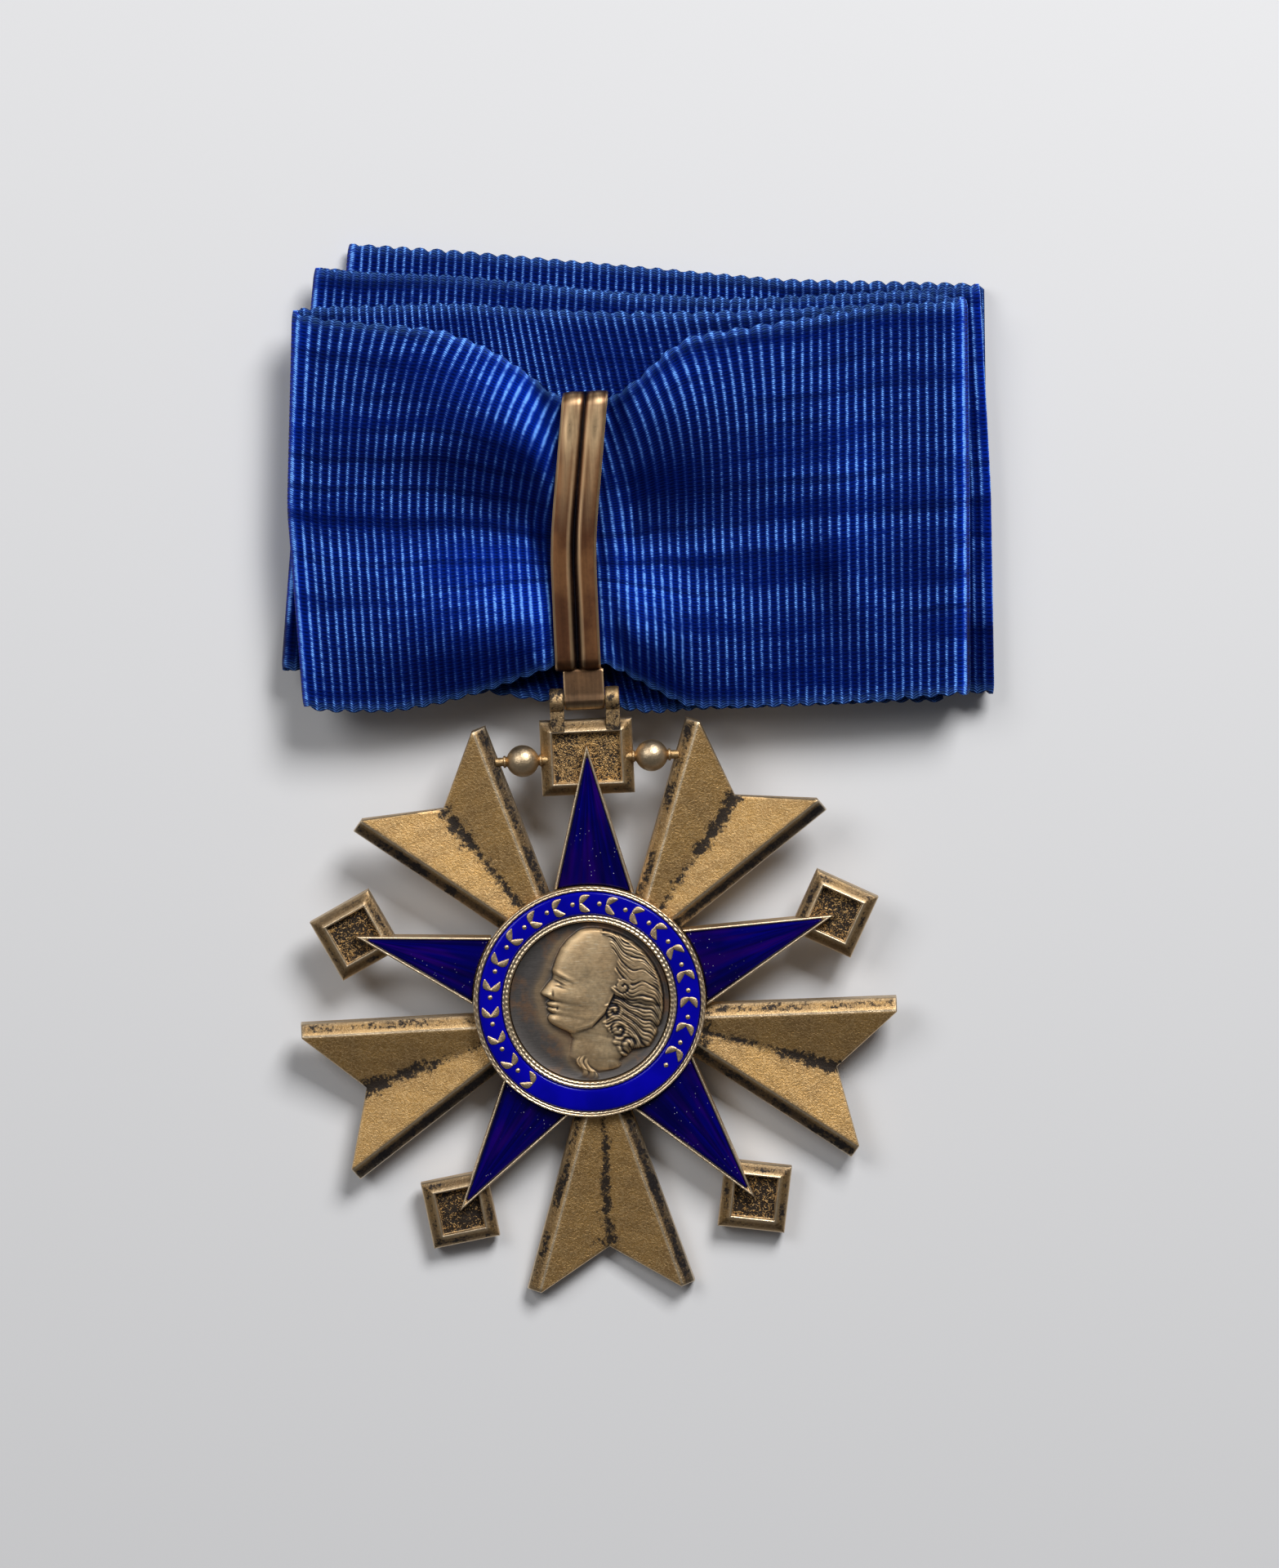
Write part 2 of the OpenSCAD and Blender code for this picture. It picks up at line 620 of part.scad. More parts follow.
module medallion() {
    color(dark_gold)
        on_star() {
            cylinder(r = disc_r - piece_gap, h = disc_floor);
            polyhedron(points = head_points, faces = head_faces, convexity = 6);
        }
}

module enamel_top() {
    arm_enamel(top_arm_reach, 90);
}
module enamel_upper_left() {
    arm_enamel(arm_reach, 162);
}
module enamel_lower_left() {
    arm_enamel(arm_reach, 234);
}
module enamel_lower_right() {
    arm_enamel(arm_reach, 306);
}
module enamel_upper_right() {
    arm_enamel(arm_reach, 18);
}

ribbon();
bail();
hinge_pin();
star();
enamel_top();
enamel_upper_left();
enamel_lower_left();
enamel_lower_right();
enamel_upper_right();
ring_cell();
ring_enamel();
medallion();
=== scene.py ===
import math

import bpy
import numpy as np
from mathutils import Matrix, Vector


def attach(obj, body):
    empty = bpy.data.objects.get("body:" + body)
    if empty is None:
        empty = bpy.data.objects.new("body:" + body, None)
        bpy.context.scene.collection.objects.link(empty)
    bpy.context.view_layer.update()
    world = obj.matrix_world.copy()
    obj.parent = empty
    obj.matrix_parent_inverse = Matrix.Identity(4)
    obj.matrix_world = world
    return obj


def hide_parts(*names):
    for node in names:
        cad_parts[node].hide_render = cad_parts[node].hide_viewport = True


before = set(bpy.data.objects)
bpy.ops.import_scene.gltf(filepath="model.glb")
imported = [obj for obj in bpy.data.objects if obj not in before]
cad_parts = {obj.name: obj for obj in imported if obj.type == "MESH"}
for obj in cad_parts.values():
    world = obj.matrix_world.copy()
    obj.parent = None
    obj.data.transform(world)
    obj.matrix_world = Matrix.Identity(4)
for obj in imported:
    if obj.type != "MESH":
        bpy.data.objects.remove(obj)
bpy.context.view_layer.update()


# Ribbon: one strip of ribbed rep weave, 38 mm wide, folded to and fro in six layers.
# The front layer runs through the bail and is gathered beside it.
# Its selvedges are small woven loops, two ribs to a loop.
class Value:
    """A number that a shader works out at each point. Arithmetic on it adds Math nodes."""

    def __init__(self, look, socket):
        self.look, self.socket = look, socket

    def __add__(self, other):
        return self.look.maths("ADD", self, other)

    def __sub__(self, other):
        return self.look.maths("SUBTRACT", self, other)

    def __rsub__(self, other):
        return self.look.maths("SUBTRACT", other, self)

    def __mul__(self, other):
        return self.look.maths("MULTIPLY", self, other)

    def __pow__(self, other):
        return self.look.maths("POWER", self, other)

    __radd__ = __add__
    __rmul__ = __mul__

    def sine(self):
        return self.look.maths("SINE", self)

    def cut(self):
        """Kept between 0 and 1."""
        return self.look.maths("ADD", self, 0.0, clamp=True)

    def step(self, low, high):
        """0 below low and 1 over high, with a smooth rise between them."""
        node = self.look.node(
            "ShaderNodeMapRange",
            {"interpolation_type": "SMOOTHSTEP"},
            {"Value": self, "From Min": low, "From Max": high},
        )
        return Value(self.look, node.outputs["Result"])


class Look:
    """A material on one Principled shader, with short calls for the nodes that feed it."""

    def __init__(self, name, **constants):
        self.material = bpy.data.materials.new(name)
        self.material.use_nodes = True
        self.tree = self.material.node_tree
        self.shader = self.tree.nodes["Principled BSDF"]
        for key, value in constants.items():
            self.shader.inputs[key.replace("_", " ")].default_value = value

    def node(self, kind, settings, inputs):
        made = self.tree.nodes.new(kind)
        for key, value in settings.items():
            setattr(made, key, value)
        for key, value in inputs.items():
            self.feed(made.inputs[key], value)
        return made

    def feed(self, target, value):
        if isinstance(value, Value):
            self.tree.links.new(value.socket, target)
        else:
            target.default_value = value

    def give(self, **varying):
        """Feeds inputs of the shader with varying values."""
        for key, value in varying.items():
            self.feed(self.shader.inputs[key.replace("_", " ")], value)

    def maths(self, operation, *numbers, clamp=False):
        node = self.node(
            "ShaderNodeMath",
            {"operation": operation, "use_clamp": clamp},
            dict(enumerate(numbers)),
        )
        return Value(self, node.outputs[0])

    def mix(self, share, first, second):
        """A colour: first where share is 0 and second where it is 1."""
        node = self.node(
            "ShaderNodeMix",
            {"data_type": "RGBA", "clamp_factor": True},
            {0: share, 6: first, 7: second},
        )
        return Value(self, node.outputs[2])

    def attribute(self, name):
        node = self.node("ShaderNodeAttribute", {"attribute_name": name}, {})
        return Value(self, node.outputs["Fac"])

    def place(self):
        """Object coordinates, in metres."""
        return Value(self, self.node("ShaderNodeTexCoord", {}, {}).outputs["Object"])

    def along_uv(self):
        """The two numbers of the UV map."""
        uv = Value(self, self.node("ShaderNodeUVMap", {}, {}).outputs["UV"])
        apart = self.node("ShaderNodeSeparateXYZ", {}, {0: uv})
        return Value(self, apart.outputs[0]), Value(self, apart.outputs[1])

    def point(self, x, y, z=0.0):
        return Value(self, self.node("ShaderNodeCombineXYZ", {}, {0: x, 1: y, 2: z}).outputs[0])

    def stretched(self, at, scale, turn=0.0):
        """Places turned about Z and scaled, for streaks."""
        inputs = {"Vector": at, "Rotation": (0, 0, turn), "Scale": scale}
        return Value(self, self.node("ShaderNodeMapping", {}, inputs).outputs[0])

    def noise(self, at, scale, detail=3.0, roughness=0.55, distortion=0.0):
        inputs = {"Vector": at, "Scale": scale, "Detail": detail, "Roughness": roughness}
        inputs["Distortion"] = distortion
        return Value(self, self.node("ShaderNodeTexNoise", {}, inputs).outputs["Fac"])

    def cells(self, at, scale):
        """Distance to the nearest of a scatter of points."""
        node = self.node("ShaderNodeTexVoronoi", {}, {"Vector": at, "Scale": scale})
        return Value(self, node.outputs["Distance"])

    def bump(self, height, distance):
        node = self.node("ShaderNodeBump", {}, {"Height": height, "Distance": distance})
        return Value(self, node.outputs["Normal"])


def outward(points, faces):
    """The faces of a closed shell, turned round if its volume comes out negative."""
    volume = 0.0
    for f in faces:
        a = points[f[:, 0]]
        for k in range(1, f.shape[1] - 1):
            b, c = points[f[:, k]], points[f[:, k + 1]]
            volume += np.einsum("ij,ij->", a - points[0], np.cross(b - points[0], c - points[0]))
    return faces if volume > 0 else [f[:, ::-1] for f in faces]


def mesh_object(name, points, faces, look, body, uv=None, **attributes):
    """A closed mesh object from points in millimetres.

    uv and the attributes hold a row for each point.
    """
    mesh = bpy.data.meshes.new(name)
    faces = outward(points, faces)
    sizes = np.concatenate([np.full(len(f), f.shape[1]) for f in faces])
    corners = np.concatenate([f.ravel() for f in faces])
    mesh.vertices.add(len(points))
    mesh.vertices.foreach_set("co", (points * 0.001).astype(np.float32).ravel())
    mesh.loops.add(len(corners))
    mesh.loops.foreach_set("vertex_index", corners.astype(np.int32))
    mesh.polygons.add(len(sizes))
    mesh.polygons.foreach_set("loop_start", (np.cumsum(sizes) - sizes).astype(np.int32))
    mesh.update(calc_edges=True)
    mesh.validate()
    mesh.polygons.foreach_set("use_smooth", np.ones(len(mesh.polygons), bool))
    for key, values in attributes.items():
        layer = mesh.attributes.new(key, "FLOAT", "POINT")
        layer.data.foreach_set("value", values.astype(np.float32).ravel())
    if uv is not None:
        layer = mesh.uv_layers.new(name="UVMap")
        layer.data.foreach_set("uv", uv[corners].astype(np.float32).ravel())
    mesh.materials.append(look.material)
    made = bpy.data.objects.new(name, mesh)
    bpy.context.scene.collection.objects.link(made)
    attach(made, body)
    return made


def grid_faces(rows, columns, first=0, flip=False, wrap_rows=False, wrap_columns=False):
    """Quads of a grid of points that is numbered row by row from first."""
    i, j = np.meshgrid(
        np.arange(rows if wrap_rows else rows - 1),
        np.arange(columns if wrap_columns else columns - 1),
        indexing="ij",
    )
    next_i, next_j = (i + 1) % rows, (j + 1) % columns
    here, below = i * columns, next_i * columns
    quads = np.stack([here + j, below + j, below + next_j, here + next_j], axis=-1).reshape(-1, 4)
    return first + (quads[:, ::-1] if flip else quads)


def slab_faces(rows, columns):
    """Quads of a closed slab: an upper grid, a lower grid after it, and the walls between."""
    count = rows * columns
    ring = np.concatenate([
        np.arange(columns - 1),
        np.arange(rows - 1) * columns + columns - 1,
        (rows - 1) * columns + np.arange(columns - 1, 0, -1),
        np.arange(rows - 1, 0, -1) * columns,
    ])
    after = np.roll(ring, -1)
    walls = np.stack([ring, after, after + count, ring + count], axis=-1)
    return [grid_faces(rows, columns), grid_faces(rows, columns, count, flip=True), walls]


def unit(value):
    """The value cut to between 0 and 1."""
    return np.clip(value, 0, 1)


def bell(away, wide):
    """A bell curve: 1 where away is 0, and 0.37 at the given width."""
    return np.exp(-((away / wide) ** 2))


RIBBON_WIDTH, RIB = 38.4, 0.86  # width of the strip, and from rib to rib along it
BAIL_X = -5.6  # where the bail crosses the strip
TILT = -2.6  # degrees that the badge is turned in the picture


def cloth_strip():
    """Middle surface of the strip, a row of points for each step along it.

    Each run of the strip lies at its layer's height between two folds, with its edges read
    from the layer's table. The front run rises over the bail's back bar on a cosine hill.
    Half circles join the runs. Returns the points, the rib number that each point lies on
    and the share across the strip.
    """
    # the packet's length, a layer's thickness and air, and the middles of the six layers
    length, cloth, pitch = 66.4, 1.0, 1.07
    height = cloth / 2 + pitch * np.arange(6)
    # for each layer: share of the length, upper edge and lower edge as shares of the width
    edges = {
        0: [
            (-0.48, 0.669, -0.331), (-0.27, 0.638, -0.345), (0.21, 0.565, -0.43),
            (0.52, 0.558, -0.47),
        ],
        1: [
            (-0.48, 0.669, -0.331), (-0.27, 0.646, -0.34), (0.21, 0.573, -0.43),
            (0.43, 0.565, -0.465), (0.52, 0.56, -0.475),
        ],
        2: [
            (-0.53, 0.608, -0.415), (-0.27, 0.573, -0.42), (0.14, 0.517, -0.45),
            (0.52, 0.56, -0.475),
        ],
        3: [
            (-0.53, 0.608, -0.415), (-0.42, 0.588, -0.42), (-0.27, 0.58, -0.43),
            (-0.15, 0.558, -0.44), (-0.04, 0.535, -0.45), (0.14, 0.521, -0.462),
            (0.4, 0.539, -0.475), (0.49, 0.52, -0.475),
        ],
        4: [
            (-0.51, 0.49, -0.504), (-0.46, 0.498, -0.492), (-0.27, 0.506, -0.484),
            (-0.23, 0.502, -0.472), (-0.15, 0.492, -0.494), (-0.04, 0.485, -0.513),
            (0.02, 0.485, -0.527), (0.075, 0.485, -0.517), (0.14, 0.487, -0.512),
            (0.36, 0.506, -0.498), (0.45, 0.504, -0.496),
        ],
        5: [
            (-0.51, 0.483, -0.504), (-0.46, 0.463, -0.523), (-0.36, 0.448, -0.523),
            (-0.293, 0.438, -0.503), (-0.237, 0.402, -0.477), (-0.196, 0.365, -0.454),
            (-0.149, 0.308, -0.425), (-0.124, 0.267, -0.408), (-0.087, 0.256, -0.401),
            (-0.052, 0.252, -0.4), (0.0, 0.313, -0.446), (0.034, 0.375, -0.479),
            (0.072, 0.421, -0.513), (0.141, 0.44, -0.513), (0.25, 0.47, -0.506),
            (0.358, 0.503, -0.496), (0.49, 0.512, -0.475),
        ],
    }
    # share of the length at the top, middle and foot, side, lower layer, upper layer
    folds = {
        "right_low": (0.504, 0.52, 0.525, 1, 1, 2),
        "right_high": (0.484, 0.487, 0.488, 1, 5, 3),
        "left_low": (-0.4325, -0.455, -0.48, -1, 0, 1),
        "left_mid": (-0.481, -0.507, -0.529, -1, 2, 3),
        "left_high": (-0.512, -0.519, -0.496, -1, 4, 5),
        "end_low": (0.508, 0.512, 0.514, 0, 0, 0),
        "end_high": (0.442, 0.444, 0.445, 0, 4, 4),
    }
    # layer, left end, right end, travel, how far apart the points are
    runs = [
        (0, "left_low", "end_low", -1, 0.43),
        (1, "left_low", "right_low", 1, 0.43),
        (2, "left_mid", "right_low", -1, 0.43),
        (3, "left_mid", "right_high", 1, 0.3),
        (5, "left_high", "right_high", -1, 0.3),
        (4, "left_high", "end_high", 1, 0.3),
    ]
    turns = ["left_low", "right_low", "left_mid", "right_high", "left_high"]
    edge = np.array([0, 0.005, 0.012, 0.022, 0.04])
    across = np.concatenate([edge, np.linspace(0.07, 0.93, 22), 1 - edge[::-1]])

    def smooth_table(layer, column, x):
        """The table's edge at x, with its corners rounded by a short running mean."""
        share, value = np.array(edges[layer])[:, 0], np.array(edges[layer])[:, column]
        spread = np.linspace(-0.016, 0.016, 5)
        means = [np.interp(x / length + s, share, value) for s in spread]
        return RIBBON_WIDTH * np.mean(means, axis=0)

    def fold_x(name):
        fold = folds[name]
        radius = abs(height[fold[5]] - height[fold[4]]) / 2
        outer = np.interp(across, [0, 0.5, 1], fold[:3]) * length
        return outer - fold[3] * (radius + cloth / 2), radius

    def ease(t):
        return 0.5 + 0.5 * np.cos(np.pi * unit(t))

    def rise(x, y):
        """Height of the front run over its layer.

        In the bail it lies on the back bar. Beside the bail it is gathered in two crests
        with a valley between, each a half cosine, whose lines run up and away from the bail
        and die out. A low upright ridge lies further right.
        """
        left, right = np.maximum(0, -8.5 - x), np.maximum(0, x + 3)
        on_left = x < BAIL_X
        upper = np.where(on_left, 4.7 + 0.55 * left, 8 + 0.68 * right)
        valley = np.where(on_left, -2.5, -4 + 0.2 * right)
        lower = np.where(on_left, -12.5, -12.0)
        low_part = np.clip((y - valley) / (valley - lower), -2, 0)
        high_part = np.clip((y - valley) / (upper - valley), 0, 2)
        waves = 0.5 - 0.5 * np.cos(np.pi * (low_part + high_part))
        away = np.abs(x - BAIL_X)
        reach = np.where(on_left, 17.0, 13.0)
        gather = 1.75 * bell(away, reach) * waves
        beside = 1 - ease((away - 2.7) / 2.6)
        winding = x - 19.5 + 0.12 * y - 0.9 * np.sin(y / 3)
        ridge = 0.5 * np.exp(-((winding / 2.5) ** 2) - ((y + 2) / 9) ** 2)
        soft = 0.16 * bell(y + 5.5 - 0.05 * x, 1.3)
        soft += 0.12 * bell(y - 3.5 + 0.1 * x, 1.6)
        return 1.05 * (1 - beside) + beside * (gather + ridge + soft)

    def lean(layer, x, y, top):
        """How far the rib at a point has moved along the strip from its place at the foot.

        In the front run the ribs bend towards the bail as they near the upper edge. In the
        run behind it they lean to the left.
        """
        if layer == 5:
            pull = np.interp(x, [-34, -17, -5.9, -5.3, 3, 15], [0, 3.4, 3.4, -3.2, -3, 0])
            return pull * (np.maximum(0, y - top + 17) / 17) ** 2
        if layer == 4:
            return -0.24 * bell(x + 6, 20) * y
        return np.zeros_like(x)

    arc_steps = 14
    points, ribs, travelled = [], [], 0.0
    for k, (layer, left, right, travel, spacing) in enumerate(runs):
        low, high = fold_x(left)[0], fold_x(right)[0]
        span = float(np.mean(high - low))
        share = np.linspace(0, 1, int(span / spacing))[:, None]
        share = share if travel > 0 else 1 - share
        x = low + (high - low) * share
        top, bottom = smooth_table(layer, 1, x), smooth_table(layer, 2, x)
        y = top + (bottom - top) * across
        z = height[layer] + (rise(x, y) if layer == 5 else 0) + 0 * x
        distance = travelled + (share if travel > 0 else 1 - share) * span
        points.append(np.stack([x, y, z], axis=-1))
        ribs.append(distance - travel * lean(layer, x, y, top))
        travelled += span
        if k < len(turns):
            after = runs[k + 1][0]
            middle, radius = fold_x(turns[k])
            t = np.linspace(0, 1, arc_steps)[1:-1, None]
            side = folds[turns[k]][3]
            up = 1 if height[after] > height[layer] else -1
            both = [
                smooth_table(n, 1, middle) * (1 - across) + smooth_table(n, 2, middle) * across
                for n in (layer, after)
            ]
            x = middle + side * radius * np.sin(np.pi * t)
            y = both[0] * (1 - t) + both[1] * t
            z = (height[layer] + height[after]) / 2 - up * radius * np.cos(np.pi * t) + 0 * x
            points.append(np.stack([x, y, z], axis=-1))
            end = ribs[-1][-1]
            start = travelled + np.pi * radius
            ribs.append(end + (start - end) * t)
            travelled = start
    return np.concatenate(points), np.concatenate(ribs), across, travelled


def turned(points, degrees):
    """Points turned about Z."""
    c, s = math.cos(math.radians(degrees)), math.sin(math.radians(degrees))
    x, y = points[:, 0], points[:, 1]
    return np.stack([x * c - y * s, x * s + y * c, points[:, 2]], axis=-1)


def twice(upper, lower):
    """Values for a slab's upper grid and then for its lower one."""
    return np.concatenate([upper, lower])


def ribbon_object():
    """The strip with its thickness and looped edges. Its UV map is in millimetres."""
    middle, along, across, strip_length = cloth_strip()
    rows, columns = along.shape
    # woven loops of the selvedge, two ribs to a loop
    loop = np.abs(np.sin(np.pi * along / (2 * RIB))) ** 0.7
    fade = unit(1 - np.minimum(across, 1 - across) / 0.024)
    middle[..., 1] += np.where(across < 0.5, 1, -1) * fade * (0.42 * loop - 0.22)
    # slow waves of a cloth that doesn't lie quite flat
    middle[..., 2] += 0.05 * np.sin(along / 5.3) * np.sin(3.1 * across + along / 9.0)
    lengthways = np.gradient(middle, axis=0)
    sideways = np.gradient(middle, axis=1)
    normal = np.cross(lengthways, sideways)
    normal /= np.linalg.norm(normal, axis=-1, keepdims=True)
    half_cloth = 0.3
    half = half_cloth * (1 - 0.4 * fade[None, :, None] ** 2)
    upwards = normal * np.sign(normal[..., 2:3] + 1e-9)
    on_fold = unit((np.abs(upwards[..., 0]) - 0.3) / 0.4)
    on_fold = on_fold * (np.abs(middle[..., 0] - BAIL_X) > 8)
    facing = 0.8 * upwards[..., 1] + 0.4 * upwards[..., 0] * (1 - on_fold) + 0.3 * on_fold
    # painted highlight: the ribs nearest to a fold are brightened too
    painted_fold_highlight = on_fold.copy()
    for k in range(1, 6):
        painted_fold_highlight[k:] = np.maximum(painted_fold_highlight[k:], on_fold[:-k] * (1 - k / 6))
        painted_fold_highlight[:-k] = np.maximum(painted_fold_highlight[:-k], on_fold[k:] * (1 - k / 6))
    # painted shade: the layers under the front one are darkened along the foot, where it shades
    # them
    front = middle[..., 2] > 5.4
    shaded = ~front * unit((-9 - middle[..., 1]) / 3)
    # painted light: the cloth is made brighter where it faces up and to the right, towards the key
    # lamp, and beside folds
    gloss = np.clip(0.44 + 3.4 * facing, 0.04, 1.5) + 0.9 * painted_fold_highlight
    # painted sheen and shade: the front layer is brightened on the gathers' flanks and darkened in
    # the hollows between them:
    # place, width and height of each patch, and how much more it shines
    patches = [
        (3.5, 2.5, 8.0, 7.0, -0.97), (4.0, 13.0, 4.5, 3.5, 0.4), (-16.0, 8.0, 6.5, 5.5, 0.75),
        (-13.5, -8.8, 7.0, 4.5, 0.9), (17.0, -13.0, 12.0, 6.0, -0.3),
        (-14.0, -17.0, 9.0, 2.5, -0.4), (19.5, 3.0, 3.5, 8.0, 0.25), (0.0, -9.5, 4.5, 4.0, 0.5),
    ]
    painted_sheen = np.ones(along.shape)
    for x, y, wide, tall, more in patches:
        far = ((middle[..., 0] - x) / wide) ** 2 + ((middle[..., 1] - y) / tall) ** 2
        painted_sheen += more * np.exp(-far)
    # painted light: the lower layers are a little darker, and the strip grows lighter towards its
    # left end
    gloss = gloss * np.where(front, painted_sheen, 0.8) * (1.06 - 0.005 * middle[..., 0])
    gloss = (gloss * (1 - 0.85 * shaded)).ravel()
    # painted highlight on the selvedge's loops
    border = np.broadcast_to(fade, along.shape) * (0.4 + 0.6 * loop)
    points = twice(middle + normal * half, middle - normal * half).reshape(-1, 3)
    uv = np.stack(np.broadcast_arrays(along, across * RIBBON_WIDTH), axis=-1).reshape(-1, 2)

    look = Look(
        "ribbon_cloth", Roughness=0.45, Specular_IOR_Level=0.08, Specular_Tint=(0.15, 0.4, 1, 1)
    )
    u, v = look.along_uv()
    gloss_here, painted_loop_highlight = look.attribute("gloss"), look.attribute("border")
    ragged = look.noise(look.point(u * 0.55, v * 0.8), 1.0, detail=5.0)
    rib = 0.5 + 0.5 * (u * (2 * math.pi / RIB) + ragged * 0.7).sine()
    chevron = (v * 30.0 + look.maths("ABSOLUTE", (u * (math.pi / RIB)).sine()) * 5.0).sine()
    thread = 0.5 + 0.5 * chevron
    bars = 0.5 + 0.5 * (v * 17.0 + ragged * 6.0).sine()
    streaks = look.point(u * 0.05, v * 0.26 + ragged * 0.4)
    moire = look.noise(streaks, 1.0, detail=4.0, distortion=0.5)
    grain = look.noise(look.point(u * 2.2, v * 5.0), 1.0, detail=2.0)
    drift = look.noise(look.point(u * 0.035, v * 0.1), 1.0, detail=2.0)
    # painted shade along small creases that run along the strip
    painted_crease_shade = (v * 2.0 + drift * 11.0 + ragged * 0.8).sine().step(0.5, 0.98)
    painted_crease_shade = painted_crease_shade * look.noise(look.point(u * 0.03, v * 0.07 + 4.0), 1.0).step(0.42, 0.6)
    # painted sheen: the moiré shines where the painted light is high
    shine = gloss_here * (0.2 + 1.35 * moire.step(0.36, 0.62)) * (1 - 0.7 * painted_crease_shade)
    # painted highlights on the rib crests and on the selvedge's loops
    lit = (rib ** 6.5) * (0.1 + 0.9 * thread) * shine * (0.12 + 1.7 * grain.step(0.32, 0.68))
    lit = (lit * 1.5 + painted_loop_highlight * 0.25 * thread).cut()
    # the weave's ribs and bars, darkened by painted shade where the painted light is low
    weave_and_painted_light = rib * 0.5 + 0.3 * bars * (1 - rib) + 0.08 * grain
    weave_and_painted_light = weave_and_painted_light * (0.22 + 0.7 * gloss_here + 0.3 * shine) * (1 - 0.35 * painted_crease_shade)
    body = look.mix(weave_and_painted_light, (0.0001, 0.0004, 0.013, 1), (0.0006, 0.024, 0.42, 1))
    look.give(
        Base_Color=look.mix((lit * 1.08).cut(), body, (0.16, 0.41, 1.0, 1)),
        Roughness=0.5 - 0.2 * lit,
        Normal=look.bump(rib * 0.8 + thread * 0.18 * rib + bars * 0.12 + grain * 0.12, 0.00018),
    )
    made = mesh_object(
        "ribbon_cloth", turned(points, TILT), slab_faces(rows, columns), look, "ribbon_and_bail",
        uv=twice(uv, uv), gloss=twice(gloss, gloss), border=twice(border.ravel(), border.ravel()),
    )
    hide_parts("ribbon")
    return made, strip_length


ribbon, strip_length = ribbon_object()


# Bail: one long loop of gilt brass that the ribbon runs through, with two round reeds
# along its front bar, cast or bent in one with a tongue and a knuckle for the hinge.
# Its finish is a satin gilt that is browner than the star's.
HINGE = np.array([-6.2, -18.8, 6.65])  # middle of the pin


def ring_band(outer, inner, across, drop):
    """A closed band round a closed side outline.

    outer and inner hold matching points (y, z) of the outline, across the places over the
    band's width, and drop how far each outer point sinks towards its inner one.
    """
    n, m = len(outer), len(across)
    inwards = inner - outer
    inwards = inwards / np.linalg.norm(inwards, axis=-1, keepdims=True)
    top = outer[:, None, :] + inwards[:, None, :] * drop[..., None]
    low = np.broadcast_to(inner[:, None, :], top.shape)
    x = np.broadcast_to(across, (n, m))
    points = twice(np.dstack([x, top]), np.dstack([x, low])).reshape(-1, 3)
    i = np.arange(n)
    after = (i + 1) % n
    left = np.stack([i * m, i * m + n * m, after * m + n * m, after * m], axis=-1)
    right = left + m - 1
    walls = [left, right[:, ::-1]]
    over, under = (grid_faces(n, m, k * n * m, k == 0, wrap_rows=True) for k in (0, 1))
    return points, [over, under] + walls


def on_circle(angle, radius):
    return radius * np.stack([np.cos(angle), np.sin(angle)], axis=-1)


def rounding_steps(half, count):
    """Places from -half to half that lie closer together towards both ends."""
    return half * np.sin(np.linspace(-0.5, 0.5, count) * np.pi)


def bored_block(outline, bore, half, count, soft, flat, rounding):
    """A block with a round bore, as wide as half to either side.

    Its sides sink by soft on a parabola, over the rounding outside the flat.
    """
    across = rounding_steps(half, count)
    drop = soft * unit((np.abs(across) - flat) / rounding) ** 2
    hole = on_circle(np.arctan2(outline[:, 1], outline[:, 0]), bore)
    return ring_band(outline, hole, across, np.broadcast_to(drop, (len(outline), count)))


def on_top(values, low=0.0):
    """An attribute of a slab or band: the values on its upper grid and low on the other."""
    return twice(values.ravel(), np.full(values.size, low))


def rounded_outline(low, high, radii, steps):
    """Points round a rectangle in y and z from low to high, with a radius for each corner.

    Every side gets the same number of steps, so two outlines match point by point.
    """
    corners = [
        (low[0], low[1], radii[0], 180),
        (high[0], low[1], radii[1], 270),
        (high[0], high[1], radii[2], 0),
        (low[0], high[1], radii[3], 90),
    ]
    arcs = []
    for y, z, r, start in corners:
        angle = np.radians(start + np.linspace(0, 90, 9))
        cy = y + r if y == low[0] else y - r
        cz = z + r if z == low[1] else z - r
        arcs.append([cy, cz] + on_circle(angle, r))
    path = []
    for k in range(4):
        a, b = arcs[k], arcs[(k + 1) % 4]
        t = np.linspace(0, 1, steps)[1:-1, None]
        path += [a, a[-1] + (b[0] - a[-1]) * t]
    return np.concatenate(path)


